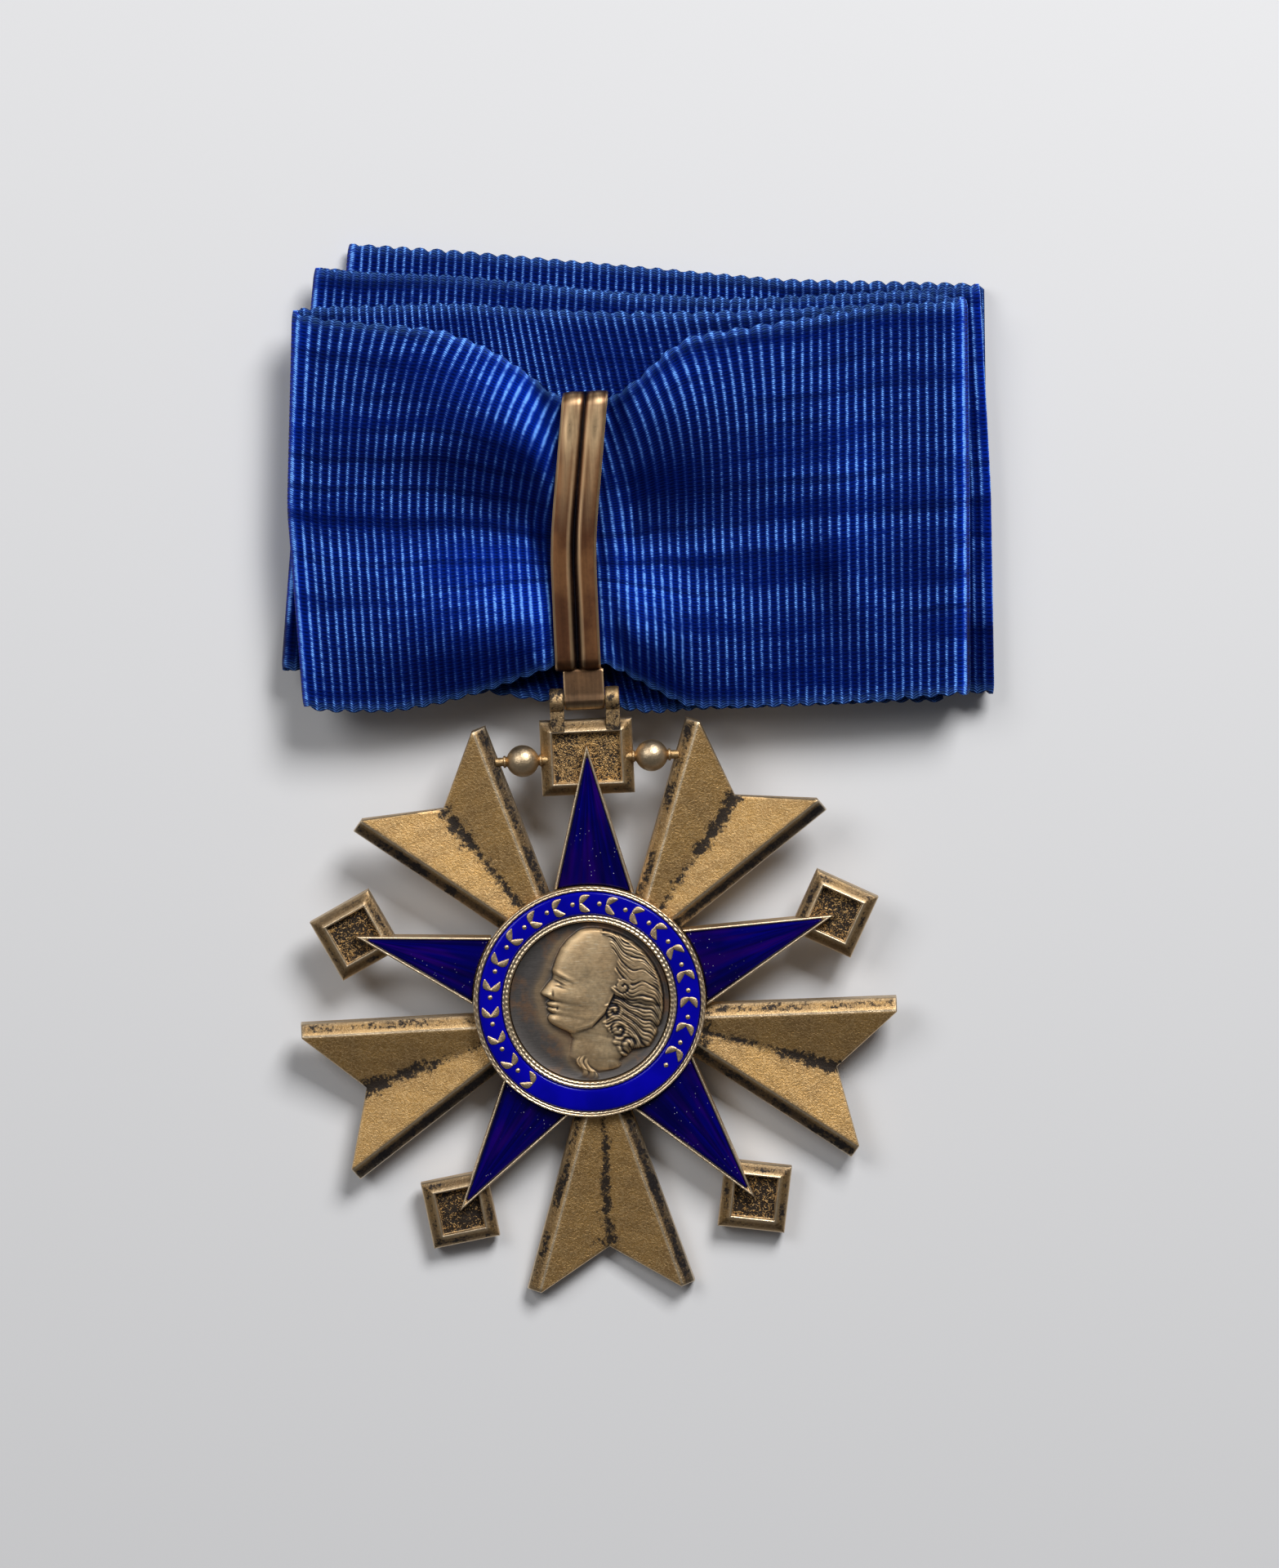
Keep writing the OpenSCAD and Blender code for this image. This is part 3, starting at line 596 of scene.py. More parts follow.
def bail_object():
    """The loop, bent to the right in its upper half, and the tongue with its bored knuckle."""
    outer = rounded_outline((0, -1.5), (27.1, 1.7), (0.35, 0.35, 1.5, 1.1), 34)
    inner = rounded_outline((0.5, -0.6), (26.6, 0.6), (0.3, 0.3, 0.3, 0.3), 34)
    beside_groove = [-0.3, -0.12, -0.05, 0.05, 0.12, 0.3]
    across = np.sort(np.concatenate([rounding_steps(2.2, 27), beside_groove]))
    off = np.abs(across)
    reed = (off - 1.1) / 1.1
    front = unit((outer[:, 1:2] + 0.4) / 1.2)
    groove_width = np.interp(outer[:, :1], [3, 11, 16, 22], [0.7, 0.6, 0.38, 0.3])
    groove = unit(1 - off / groove_width)
    at_side = unit((off - 1.9) / 0.3) ** 2
    hollow = 0.1 * at_side + 0.2 * reed ** 2 + 0.45 * groove_width * groove ** 1.5
    plain = 0.16 * at_side
    drop = front * hollow + (1 - front) * plain
    points, faces = ring_band(outer, inner, across, drop)
    y = points[:, 1]
    bend_start, bend_length, bend_degrees, bend_radius = 9, 6.458, 7.4, 50
    bend_end = bend_start + bend_length
    bent = unit((y - bend_start) / bend_length)
    points[:, 0] += bend_radius * (1 - np.cos(np.radians(bent * bend_degrees)))
    points[:, 0] += np.maximum(0, y - bend_end) * math.tan(math.radians(bend_degrees))
    shank = 2.85  # from the pin to the band
    points += np.array([HINGE[0] - 0.45, HINGE[1] + shank, 6.9])
    crown = front * (1 - groove ** 0.8)
    # bright along the sides from wear and painted highlight, and painted highlights beside the
    # groove, on the upper half and on the shoulder
    upper_half = unit((outer[:, :1] - 13) / 9)
    shoulder = 1.15 * bell(outer[:, :1] - 23.4, 1.8)
    edge = bell(off - 2.13, 0.09) + 0.45 * bell(off - 0.56, 0.1)
    edge = edge + 0.5 * upper_half * bell(off - 1.25, 0.4)
    edge = front * (edge + shoulder * bell(off - 1.2, 0.55))
    reeds, worn = on_top(crown), on_top(edge)

    # the tongue, round about the pin at its lower end
    end, half_thick = shank + 0.25, 0.87
    back = on_circle(np.radians(np.linspace(90, 270, 25)), 0.95)
    low = np.stack([np.linspace(0, end, 10)[1:], np.full(9, -half_thick)], axis=-1)
    up = np.stack([np.full(5, end), np.linspace(-half_thick, half_thick, 7)[1:-1]], axis=-1)
    top = np.stack([np.linspace(end, 0, 10)[:-1], np.full(9, half_thick)], axis=-1)
    tongue = np.concatenate([back, low, up, top])
    extra, extra_faces = bored_block(tongue, 0.45, 1.95, 15, 0.14, 1.65, 0.3)
    extra += HINGE
    faces = outward(points, faces) + [f + len(points) for f in outward(extra, extra_faces)]
    points = np.concatenate([points, extra])
    reeds = np.concatenate([reeds, np.clip(0.45 + 0.2 * (extra[:, 1] - HINGE[1]), 0, 0.8)])
    # bright lines along the tongue's lower edge and sides, from wear and painted highlight
    tongue_edge = 0.6 * bell(extra[:, 1] - HINGE[1] + 0.7, 0.25)
    tongue_edge += 0.6 * bell(np.abs(extra[:, 0] - HINGE[0]) - 1.93, 0.09)
    worn = np.concatenate([worn, 0.1 + tongue_edge])

    look = Look("bail_gilt", Metallic=1.0)
    place = look.place()
    streak = look.noise(look.stretched(place, (4200.0, 150.0, 900.0)), 1.0)
    spot = look.noise(place, 3000.0, detail=4.0, roughness=0.75)
    broad = look.noise(place, 150.0, detail=3.0)
    crest, edge = look.attribute("reeds"), look.attribute("worn")
    # wear and painted highlight: the bright gilt along the edges, on the reeds' upper half and on
    # the shoulder
    wear_and_highlight = (edge * (0.4 + 0.9 * streak)).cut() * 0.85
    wear = (crest + streak * 0.6 + spot * 0.5 - 0.62).cut()
    brown = look.mix(broad.step(0.4, 0.6), (0.17, 0.078, 0.034, 1), (0.095, 0.04, 0.02, 1))
    tint = look.mix(wear, (0.008, 0.007, 0.01, 1), brown)
    look.give(
        Base_Color=look.mix(wear_and_highlight, tint, (0.95, 0.66, 0.37, 1)),
        Roughness=0.4 - 0.12 * edge + 0.14 * spot,
        Normal=look.bump(streak + 0.5 * spot, 0.000008),
    )
    made = mesh_object("bail_band", points, faces, look, "ribbon_and_bail", reeds=reeds, worn=worn)
    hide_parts("bail")
    return made


bail = bail_object()
strip_length * 0.001


# Star: struck in silver gilt, all in one: five swallow-tailed rays, the walls and floors of
# five enamel cells, five sunk frames, two balls on stems and the ears of the hinge.
# The gilding is matt and finely grained, and has gone black in the hollows and on the bevels.
# Painted shade darkens bevels and frame borders by the way they face.
class Shells:
    """Closed shells that make up one object, with the same attributes on each."""

    def __init__(self, *names):
        self.names, self.points, self.faces, self.values, self.count = names, [], [], [], 0

    def add(self, points, faces, **values):
        self.points.append(points)
        self.faces += [f + self.count for f in outward(points, faces)]
        self.values.append([np.broadcast_to(values.get(n, 0.0), len(points)) for n in self.names])
        self.count += len(points)

    def build(self, name, look):
        values = dict(zip(self.names, np.concatenate(self.values, axis=1)))
        points = np.concatenate(self.points)
        return mesh_object(name, points, self.faces, look, "badge", **values)


PIN_Y, PIN_Z = 29.5, 1.3  # the pin's place on the flat star, from its middle and back


def hung(points):
    """Points of the flat star, leaned on the pin until its two lowest tips rest on the floor."""
    tip, tip_angle = 29.1, math.radians(16.6)
    reach = PIN_Y + tip * math.cos(tip_angle)
    lean = math.asin((HINGE[2] - PIN_Z * math.cos(math.radians(5))) / reach)
    c, s = math.cos(lean), math.sin(lean)
    y, z = points[:, 1] - PIN_Y, points[:, 2] - PIN_Z
    return HINGE + np.stack([points[:, 0], y * c - z * s, y * s + z * c], axis=-1)


def spun(section, sides, axis="z", closed=True):
    """A section of points (radius, height) spun about an axis.

    A closed section makes a ring. An open one starts and ends on the axis, where its end
    points are shared, and makes a solid.
    """
    radius, high = np.array(section, float).T
    angle = np.linspace(0, 2 * np.pi, sides, endpoint=False)[:, None]
    inner = slice(None) if closed else slice(1, -1)
    r, h = radius[inner], high[inner]
    a, b = r * np.cos(angle), r * np.sin(angle)
    h = np.broadcast_to(h, a.shape)
    order = [a, b, h] if axis == "z" else [h, a, b]
    points = np.stack(order, axis=-1).reshape(-1, 3)
    n = len(r)
    faces = [grid_faces(sides, n, wrap_rows=True, wrap_columns=closed)]
    if not closed:
        i = np.arange(sides)
        after = (i + 1) % sides
        poles = np.zeros((2, 3))
        poles[:, 2 if axis == "z" else 0] = high[[0, -1]]
        points = np.concatenate([points, poles])
        for first, second, pole in ((after * n, i * n, 0), (i * n + n - 1, after * n + n - 1, 1)):
            faces.append(np.stack([first, second, np.full(sides, sides * n + pole)], axis=-1))
    return points, faces


def slab(x, y, z, low=0.0):
    """Points and faces of a closed slab: a grid of places, and below it the same grid at low."""
    x, y, z = np.broadcast_arrays(x, y, z)
    upper = np.stack([x, y, z], axis=-1).reshape(-1, 3)
    lower = upper * [1, 1, 0] + [0, 0, low]
    return twice(upper, lower), slab_faces(*x.shape)


def ray_shell():
    """One ray along +X, from the medallion to its swallow-tail end.

    Columns lie at fixed distances from a long edge, then at fixed shares of the facet, so
    every column is a straight line y = a x + b that is cut off by one of the tail's two
    cuts. The top is the lower of a bevel and a facet, blended by a hyperbola.
    """
    slope, wide = math.tan(math.radians(17.5)), math.cos(math.radians(17.5))
    off = np.array([0, 0.04, 0.12, 0.4, 0.8, 1.1, 1.25, 1.41, 1.6])
    share = np.linspace(1, 0, 13)[1:]
    a = np.concatenate([np.full(len(off), slope), share * slope])
    b = np.concatenate([-1.9 * slope - off / wide, share * (-1.9 * slope - 1.6 / wide)])
    shoulder_cut = 24.15 + 0.6038 * (24.15 * a + b) / (1 - 0.6038 * a)
    tip_cut = 30.271 - 0.2911 * (30.271 * a + b) / (1 + 0.2911 * a)
    end = np.minimum(shoulder_cut, tip_cut)
    a = np.concatenate([-a, a[-2::-1]])
    b = np.concatenate([-b, b[-2::-1]])
    end = np.concatenate([end, end[-2::-1]])
    back = np.array([0.4, 0.12, 0.04, 0])[:, None]
    root = 8.8
    along = root + (end - 0.8 - root) * np.linspace(0, 1, 52)[:, None]
    x = np.concatenate([along, end - back])
    y = a * x + b
    edge = (slope * (x - 1.9) - np.abs(y)) * wide
    in_facet = (slope * (x - 1.9) - np.sqrt(y ** 2 + 0.22 ** 2)) * wide
    bevel = 2.1 - (1.25 - edge) * math.tan(math.radians(30))
    facet = 2.1 - (in_facet - 1.25) * math.tan(math.radians(11))
    z = (bevel + facet) / 2 - np.sqrt((bevel - facet) ** 2 + 0.09 ** 2) / 2
    tail = end - x
    z = z - 0.12 * unit(1 - edge / 0.12) ** 2 - 0.1 * unit(1 - tail / 0.12) ** 2
    z = z + 0.015 * np.sin(2.3 * x + 1.1 * y) * np.sin(1.9 * y - 0.7 * x)
    crest = bell(edge - 1.25, 0.1) + bell(edge, 0.1)
    crest += 0.8 * bell(tail, 0.09)
    out = (x - root) / 19.4
    hollow = (0.74 + 0.36 * out) * np.exp(-((np.abs(y) / (0.6 + 0.95 * out)) ** 1.4))
    hollow = np.maximum(hollow, 0.7 * bell(x - 10.2, 1.8))
    on_bevel = unit((1.2 - edge) / 0.25)
    hollow = np.maximum(hollow, 0.62 * on_bevel)
    return *slab(x, y, z), on_top(crest), on_top(hollow, 0.5), on_top(on_bevel * np.sign(y))


ARMS = [(90, 25.3), (162, 24.5), (234, 24.5), (306, 24.5), (18, 24.5)]  # angle, reach
ARM_SLOPE, ARM_SINE = math.tan(math.radians(15)), math.sin(math.radians(15))
RING_MIDDLE = np.array([-0.84, 0.24, 0.0])  # from the star's middle


def to_ring(angle, tip, side_slope):
    """Distance along an arm from its tip to the medallion's rim.

    The lines leave the tip at the given slopes. It is the nearer root of a line meeting a
    circle.
    """
    radius = 11.42
    centre = turned(RING_MIDDLE[None, :], -angle)[0]
    b = (tip - centre[0]) + side_slope * centre[1]
    c = (tip - centre[0]) ** 2 + centre[1] ** 2 - radius ** 2
    k = 1 + side_slope ** 2
    return (b - np.sqrt(b ** 2 - k * c)) / k


def frame_shell(width, length):
    """A frame with mitred borders.

    Its height is read from the distance to the nearer edge, on lines that are as far from
    the edges both ways, so the mitres lie on the grid's corners.
    """
    near = np.array([0, 0.05, 0.14, 0.4, 0.7, 0.98, 1.05, 1.12, 1.18, 1.22, 1.3])

    def lines(size):
        inner = np.linspace(-size / 2 + 1.3, size / 2 - 1.3, 19)[1:-1]
        return np.concatenate([-size / 2 + near, inner, size / 2 - near[::-1]])

    x, y = np.meshgrid(lines(width), lines(length), indexing="ij")
    away = np.minimum(width / 2 - np.abs(x), length / 2 - np.abs(y))
    # distance from the edge, height
    profile = [
        (0, 1.24), (0.05, 1.33), (0.14, 1.42), (0.98, 2.0), (1.05, 2.05), (1.12, 2.05),
        (1.18, 2.0), (1.22, 1.34), (1.3, 1.3),
    ]
    z = np.interp(away, *np.array(profile).T)
    floor = unit((away - 1.22) / 0.1)
    uneven = np.sin(5.1 * x + 1.3 * np.sin(3.7 * y)) * np.sin(4.3 * y + 1.1 * np.sin(4.1 * x))
    z = z + 0.05 * floor * uneven
    crest = bell(away - 1.1, 0.11) + 0.8 * bell(away, 0.11)
    border = bell(away - 0.5, 0.55)
    hollow = 0.85 * floor + 0.66 * border
    # the way that each border faces, in degrees
    across = width / 2 - np.abs(x) < length / 2 - np.abs(y)
    way = np.where(across, np.where(x > 0, 0, 180), np.where(y > 0, 90, 270))
    looks = on_top(crest), on_top(hollow, 0.5), on_top(floor), on_top(border), on_top(way)
    return *slab(x, y, z), *looks


def gilt_look():
    """Matt grained gilding: worn bright on crests, black where the patina lies, and darker where
    patina and painted shade lie on the bevels and frame borders.
    """
    look = Look("gilt", Metallic=1.0, Roughness=0.45)
    place = look.place()
    grain = look.noise(place, 4800.0, detail=3.0, distortion=1.0)
    worm = look.maths("ABSOLUTE", look.noise(place, 2600.0, detail=1.0, distortion=1.6) - 0.5)
    grained, film = look.attribute("grained"), look.attribute("film")
    blot = look.noise(place, 330.0, detail=7.0, roughness=0.74)
    fleck = look.noise(place, 2600.0, detail=4.0, roughness=0.75)
    cloud = look.noise(place, 260.0, detail=3.0)
    crest, hollow = look.attribute("crest").cut(), look.attribute("hollow")
    black = hollow * 0.62 + blot * 1.35 + fleck - crest * 0.35
    black = (black + grained * (0.5 - 7.0 * worm)).step(1.52, 1.72)
    gold = look.mix(cloud.step(0.35, 0.7), (0.47, 0.28, 0.1, 1), (0.38, 0.23, 0.093, 1))
    gold = look.mix(grain.step(0.42, 0.66) * 0.62, gold, (0.68, 0.465, 0.225, 1))
    gold = look.mix((film * (0.7 + 0.6 * cloud)).cut(), gold, (0.04, 0.034, 0.032, 1))
    gold = look.mix(crest * 0.7, gold, (0.9, 0.76, 0.56, 1))
    look.give(
        Base_Color=look.mix(black * 0.96, gold, (0.012, 0.01, 0.011, 1)),
        Metallic=1 - 0.3 * black,
        Roughness=(0.46 + 0.1 * black - 0.16 * crest + 0.08 * grain).cut(),
        Normal=look.bump(
            grain * (2.8 - 1.8 * crest) + 0.5 * fleck - 0.3 * black + 6.0 * grained * worm, 0.000018
        ),
    )
    return look


def star_object(look):
    """All shells of the star, drawn flat round its centre and then hung."""
    star = Shells("crest", "hollow", "grained", "film")
    points, faces, crest, hollow, bevel = ray_shell()
    for angle in range(54, 360, 72):
        # patina on the bevels, with painted shade: darker where a bevel faces down and to the
        # right, lighter where it faces up and to the left
        away = np.radians(angle + np.sign(bevel) * 107.5 - 125)
        film = np.abs(bevel) * (0.68 - 0.26 * np.cos(away))
        star.add(
            hung(turned(points, angle)), faces, crest=crest, hollow=hollow + 0.12 * film, film=film
        )

    inset = np.array([0, 0.04, 0.12, 0.2, 0.28])
    for angle, reach in ARMS:
        tip = reach - inset / ARM_SINE
        for side in (-ARM_SLOPE, ARM_SLOPE):
            s = to_ring(angle, tip, side) * np.linspace(0, 1, 44)[:, None]
            bar, faces = slab(tip - s, side * s, [2.38, 2.47, 2.5, 2.48, 2.38], low=0.03)
            worn = on_top(np.full(s.shape, 0.85))
            star.add(hung(turned(bar, angle)), faces, crest=worn, hollow=0.25)
        s = np.linspace(0.05, tip[-1] - 7.0, 8)[:, None]
        q = ARM_SLOPE * np.linspace(-1, 1, 5)
        floor, faces = slab(tip[-1] - s, s * q, 1.6, low=0.06)
        star.add(hung(turned(floor, angle)), faces, hollow=0.5)

    def browned_and_shaded(border, way):
        """Patina on the borders, with painted shade: those that face up or down the picture are
        browner.
        """
        way = np.radians(way)
        return border * (0.62 - 0.12 * np.cos(2 * way) + 0.06 * np.sin(way))

    points, faces, crest, hollow, grained, border, way = frame_shell(6.55, 6.55)
    for angle, reach in ARMS[1:]:
        placed = turned(turned(points, 45) + [reach, 0, 0], angle)
        star.add(
            hung(placed), faces, crest=crest, hollow=hollow + 0.4 * grained, grained=grained,
            film=browned_and_shaded(border, way + angle + 45),
        )
    points, faces, crest, hollow, grained, border, way = frame_shell(9.0, 7.3)
    placed = points + [0, 23.95, 0]
    star.add(
        hung(placed), faces, crest=crest, hollow=hollow * 0.8, grained=grained,
        film=browned_and_shaded(border, way),
    )

    # the two balls, each on a stem with a collar at either end
    swell = np.radians(np.linspace(158, 22, 25))
    ball = [(1.56 * math.sin(t), 6.26 + 1.58 * math.cos(t)) for t in swell]
    section = [
        (0, 3.6), (0.42, 3.6), (0.42, 4.34), (0.6, 4.44), (0.6, 4.58), (0.46, 4.68), *ball,
        (0.46, 7.84), (0.6, 7.94), (0.6, 8.08), (0.42, 8.18), (0.42, 8.9), (0, 8.9),
    ]
    points, faces = spun(section, 32, axis="x", closed=False)
    shine = unit(np.hypot(points[:, 1], points[:, 2])) ** 2
    for side in (-1, 1):
        placed = points * [side, 1, 1] + [0, 23.85, 1.4]
        star.add(
            hung(placed), faces, crest=0.6 * shine, hollow=0.6 - 0.5 * shine, film=0.25 * shine
        )

    # the two ears that hold the pin
    cap = on_circle(np.radians(np.linspace(-118.4, 140.2, 33)), 1.25)
    foot = np.array([
        (-1.2, 0.8), (-2.1, 0.8), (-2.95, 0.8), (-2.95, 0.2), (-2.95, -0.5), (-2.95, -1.1),
        (-2.1, -1.1), (-1.2, -1.1),
    ])
    half = 0.675
    points, faces = bored_block(np.concatenate([cap, foot]), 0.43, half, 11, 0.1, 0.5, 0.175)
    for side in (-1, 1):
        placed = points + [side * (2.03 + half), PIN_Y, PIN_Z]
        star.add(hung(placed), faces, crest=0.1, hollow=0.74, film=0.3)

    # the plate under the ring and the medallion
    plate = [(0, -0.05), (9.9, -0.05), (10.1, 0.1), (10.1, 1.4), (9.04, 1.4), (9.04, 1.7), (0, 1.7)]
    points, faces = spun(plate, 96, closed=False)
    star.add(hung(points), faces, hollow=0.5)

    made = star.build("star_gilt", look)
    made.data.set_sharp_from_angle(angle=math.radians(32))
    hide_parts("star")


gilt = gilt_look()
star_object(gilt)


# Hinge pin: a plain gilt rod through the ears and the bail's knuckle.
# Its solid is kept as it is, with its edges joined and rounded off in the shading.
def pin_object(look):
    made = bpy.data.objects["hinge_pin"]
    weld = made.modifiers.new("joined", "WELD")
    weld.merge_threshold = 1e-6
    made.data.materials.clear()
    made.data.materials.append(look.material)
    made.data.shade_smooth()
    made.data.set_sharp_from_angle(angle=math.radians(40))


pin_object(gilt)


# Arms' enamel: translucent deep blue to violet glass, fired into the five cells over a cut
# ground whose lines fan out from the ring. It is domed and its edge lies just under the gilt.
def arm_enamels():
    look = Look("arm_enamel", Coat_Roughness=0.06, Coat_Weight=0.05, Specular_IOR_Level=0.12)
    s, q = look.along_uv()
    place = look.place()
    fan = look.noise(look.point(q * 5.0, s * 0.05), 1.0, detail=3.0, distortion=0.4)
    flame = look.noise(look.point(q * 1.9, s * 0.12), 1.0, detail=2.0)
    deep = look.noise(place, 330.0, detail=3.0)
    near_ring = s.step(6.0, 11.5)
    dust = look.cells(place, 2600.0)
    blue = look.mix(fan.step(0.35, 0.7), (0.0004, 0.0, 0.045, 1), (0.0006, 0.0, 0.13, 1))
    violet = look.mix(flame.step(0.45, 0.7) * 0.6, blue, (0.018, 0.0, 0.13, 1))
    gloom = (deep.step(0.5, 0.75) * 0.4 + near_ring * 0.4).cut()
    dark = look.mix(gloom, violet, (0.0005, 0.0, 0.03, 1))
    chosen = look.noise(place, 420.0, detail=1.0).step(0.55, 0.62)
    near_dust = near_ring * near_ring * look.noise(place, 900.0).step(0.52, 0.6)
    speck = (1 - dust.step(0.07, 0.12)) * (chosen * 0.5 + near_dust).cut()
    look.give(
        Base_Color=look.mix(speck * 0.8, dark, (0.7, 0.7, 0.85, 1)),
        Roughness=0.1 + 0.5 * speck,
        Normal=look.bump(fan * 0.25 + deep * 0.4, 0.00004),
    )
    places = ["top", "upper_left", "lower_left", "lower_right", "upper_right"]
    dome = 24
    for where, (angle, reach) in zip(places, ARMS):
        node = "enamel_" + where
        tip = reach - 0.32 / ARM_SINE
        q = np.linspace(-1, 1, 25)
        side = q * ARM_SLOPE
        s = to_ring(angle, tip, side) * (0.01 + 0.99 * np.linspace(0, 1, 56)[:, None])
        x, y = tip - s, side * s
        rim = (1 - np.abs(q)) * s * ARM_SLOPE
        z = 2.6 - (dome - np.sqrt(dome ** 2 - y ** 2)) - 0.12 * unit(1 - rim / 0.3) ** 2
        uv = np.stack([s, np.broadcast_to(q, s.shape) + angle * 0.37], axis=-1).reshape(-1, 2)
        points, faces = slab(x, y, z, low=1.66)
        points = hung(turned(points, angle))
        made = mesh_object(node + "_glass", points, faces, look, "badge", uv=twice(uv, uv))
        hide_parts(node)


arm_enamels()


# Ring cell: a gilt channel round the medallion, with a plate under the enamel and two
# milled rims, each of two fine ridges nicked on the slant.
def on_star(points):
    """Points of the medallion, from its own middle and back, hung with the star."""
    return hung(points + RING_MIDDLE + [0, 0, 1.95])


def ring_cell_object(look):
    section = np.array([
        (7.82, 0), (11.3, 0), (11.3, 1.16), (11.27, 1.27), (11.19, 1.34), (11.11, 1.29),
        (11.06, 1.2), (11.01, 1.29), (10.93, 1.33), (10.85, 1.27), (10.8, 1.16), (10.8, 0.6),
        (8.5, 0.6), (8.5, 1.28), (8.46, 1.38), (8.36, 1.44), (8.24, 1.4), (8.17, 1.3),
        (8.1, 1.39), (8.0, 1.42), (7.9, 1.38), (7.84, 1.26),
    ])
    sides = 560
    points, faces = spun(section, sides)
    angle = np.repeat(np.linspace(0, 2 * np.pi, sides, endpoint=False), len(section))
    ridge = np.tile(unit((section[:, 1] - 1.18) / 0.1), sides)
    lift = np.sin(100 * angle + 22 * points[:, 2] + 14 * np.hypot(points[:, 0], points[:, 1]))
    points[:, 2] += 0.035 * ridge * lift
    made = mesh_object(
        "ring_cell_gilt", on_star(points), faces, look, "badge",
        crest=0.2 + 0.75 * ridge, hollow=0.5 - 0.2 * ridge,
    )
    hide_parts("ring_cell")


ring_cell_object(gilt)


# Ring enamel: opaque glossy ultramarine glass between the two rims, ground nearly flat.
# A plain row of gilt leaf pairs and dots stands on it, and its foot is bare.
def ring_enamel_object(look_gilt):
    look = Look("ring_enamel", Coat_Weight=0.04, Coat_Roughness=0.06, Specular_IOR_Level=0.2)
    place = look.place()
    cloud = look.noise(place, 240.0, detail=3.0)
    look.give(
        Base_Color=look.mix(cloud.step(0.3, 0.7), (0.0, 0.0, 0.24, 1), (0.001, 0.0, 0.36, 1)),
        Roughness=0.12 + 0.12 * cloud,
        Normal=look.bump(cloud, 0.00003),
    )
    r = np.linspace(8.56, 10.74, 15)
    dome, middle = 9.0, 9.65
    z = 1.36 - (dome - np.sqrt(dome ** 2 - (r - middle) ** 2))
    z -= 0.08 * unit((np.abs(r - middle) - 0.85) / 0.24) ** 2
    top = np.stack([r, z], axis=-1)
    section = np.concatenate([top[::-1], [(8.56, 0.66), (10.74, 0.66)]])
    points, faces = spun(section, 200)
    made = mesh_object("ring_enamel_glass", on_star(points), faces, look, "badge")
    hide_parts("ring_enamel")

    row = Shells("crest", "hollow")
    t = np.linspace(0, 1, 15)[:, None]
    w = np.linspace(-1, 1, 7)
    half = 0.05 + 0.33 * np.sin(np.pi * t) ** 0.75 * (1 - 0.4 * t)
    y = half * w + 0.18 * np.sin(np.pi * t)
    z = 1.34 + 0.11 * (1 - 0.5 * w ** 2)
    leaf, leaf_faces = slab(1.25 * t, y, z, low=1.2)
    dome = [(0, 1.2), (0.24, 1.2), (0.24, 1.36), (0.17, 1.43), (0, 1.45)]
    dot, dot_faces = spun(dome, 16, closed=False)
    first, last, apart, row_radius = 229.0, -50.0, 15.5, 9.66
    for angle in np.arange(first, last, -apart):
        for side in (-1, 1):
            sprig = turned(leaf * [1, side, 1], side * 38) + [-0.62, 0, 0]
            placed = turned(turned(sprig, -90) + [row_radius, 0, 0], angle)
            row.add(on_star(placed), leaf_faces, crest=0.55, hollow=0.12)
        if angle - apart / 2 > last:
            placed = turned(dot + [row_radius, 0, 0], angle - apart / 2)
            row.add(on_star(placed), dot_faces, crest=0.55, hollow=0.12)
    made = row.build("ring_ornament", look_gilt)


ring_enamel_object(gilt)


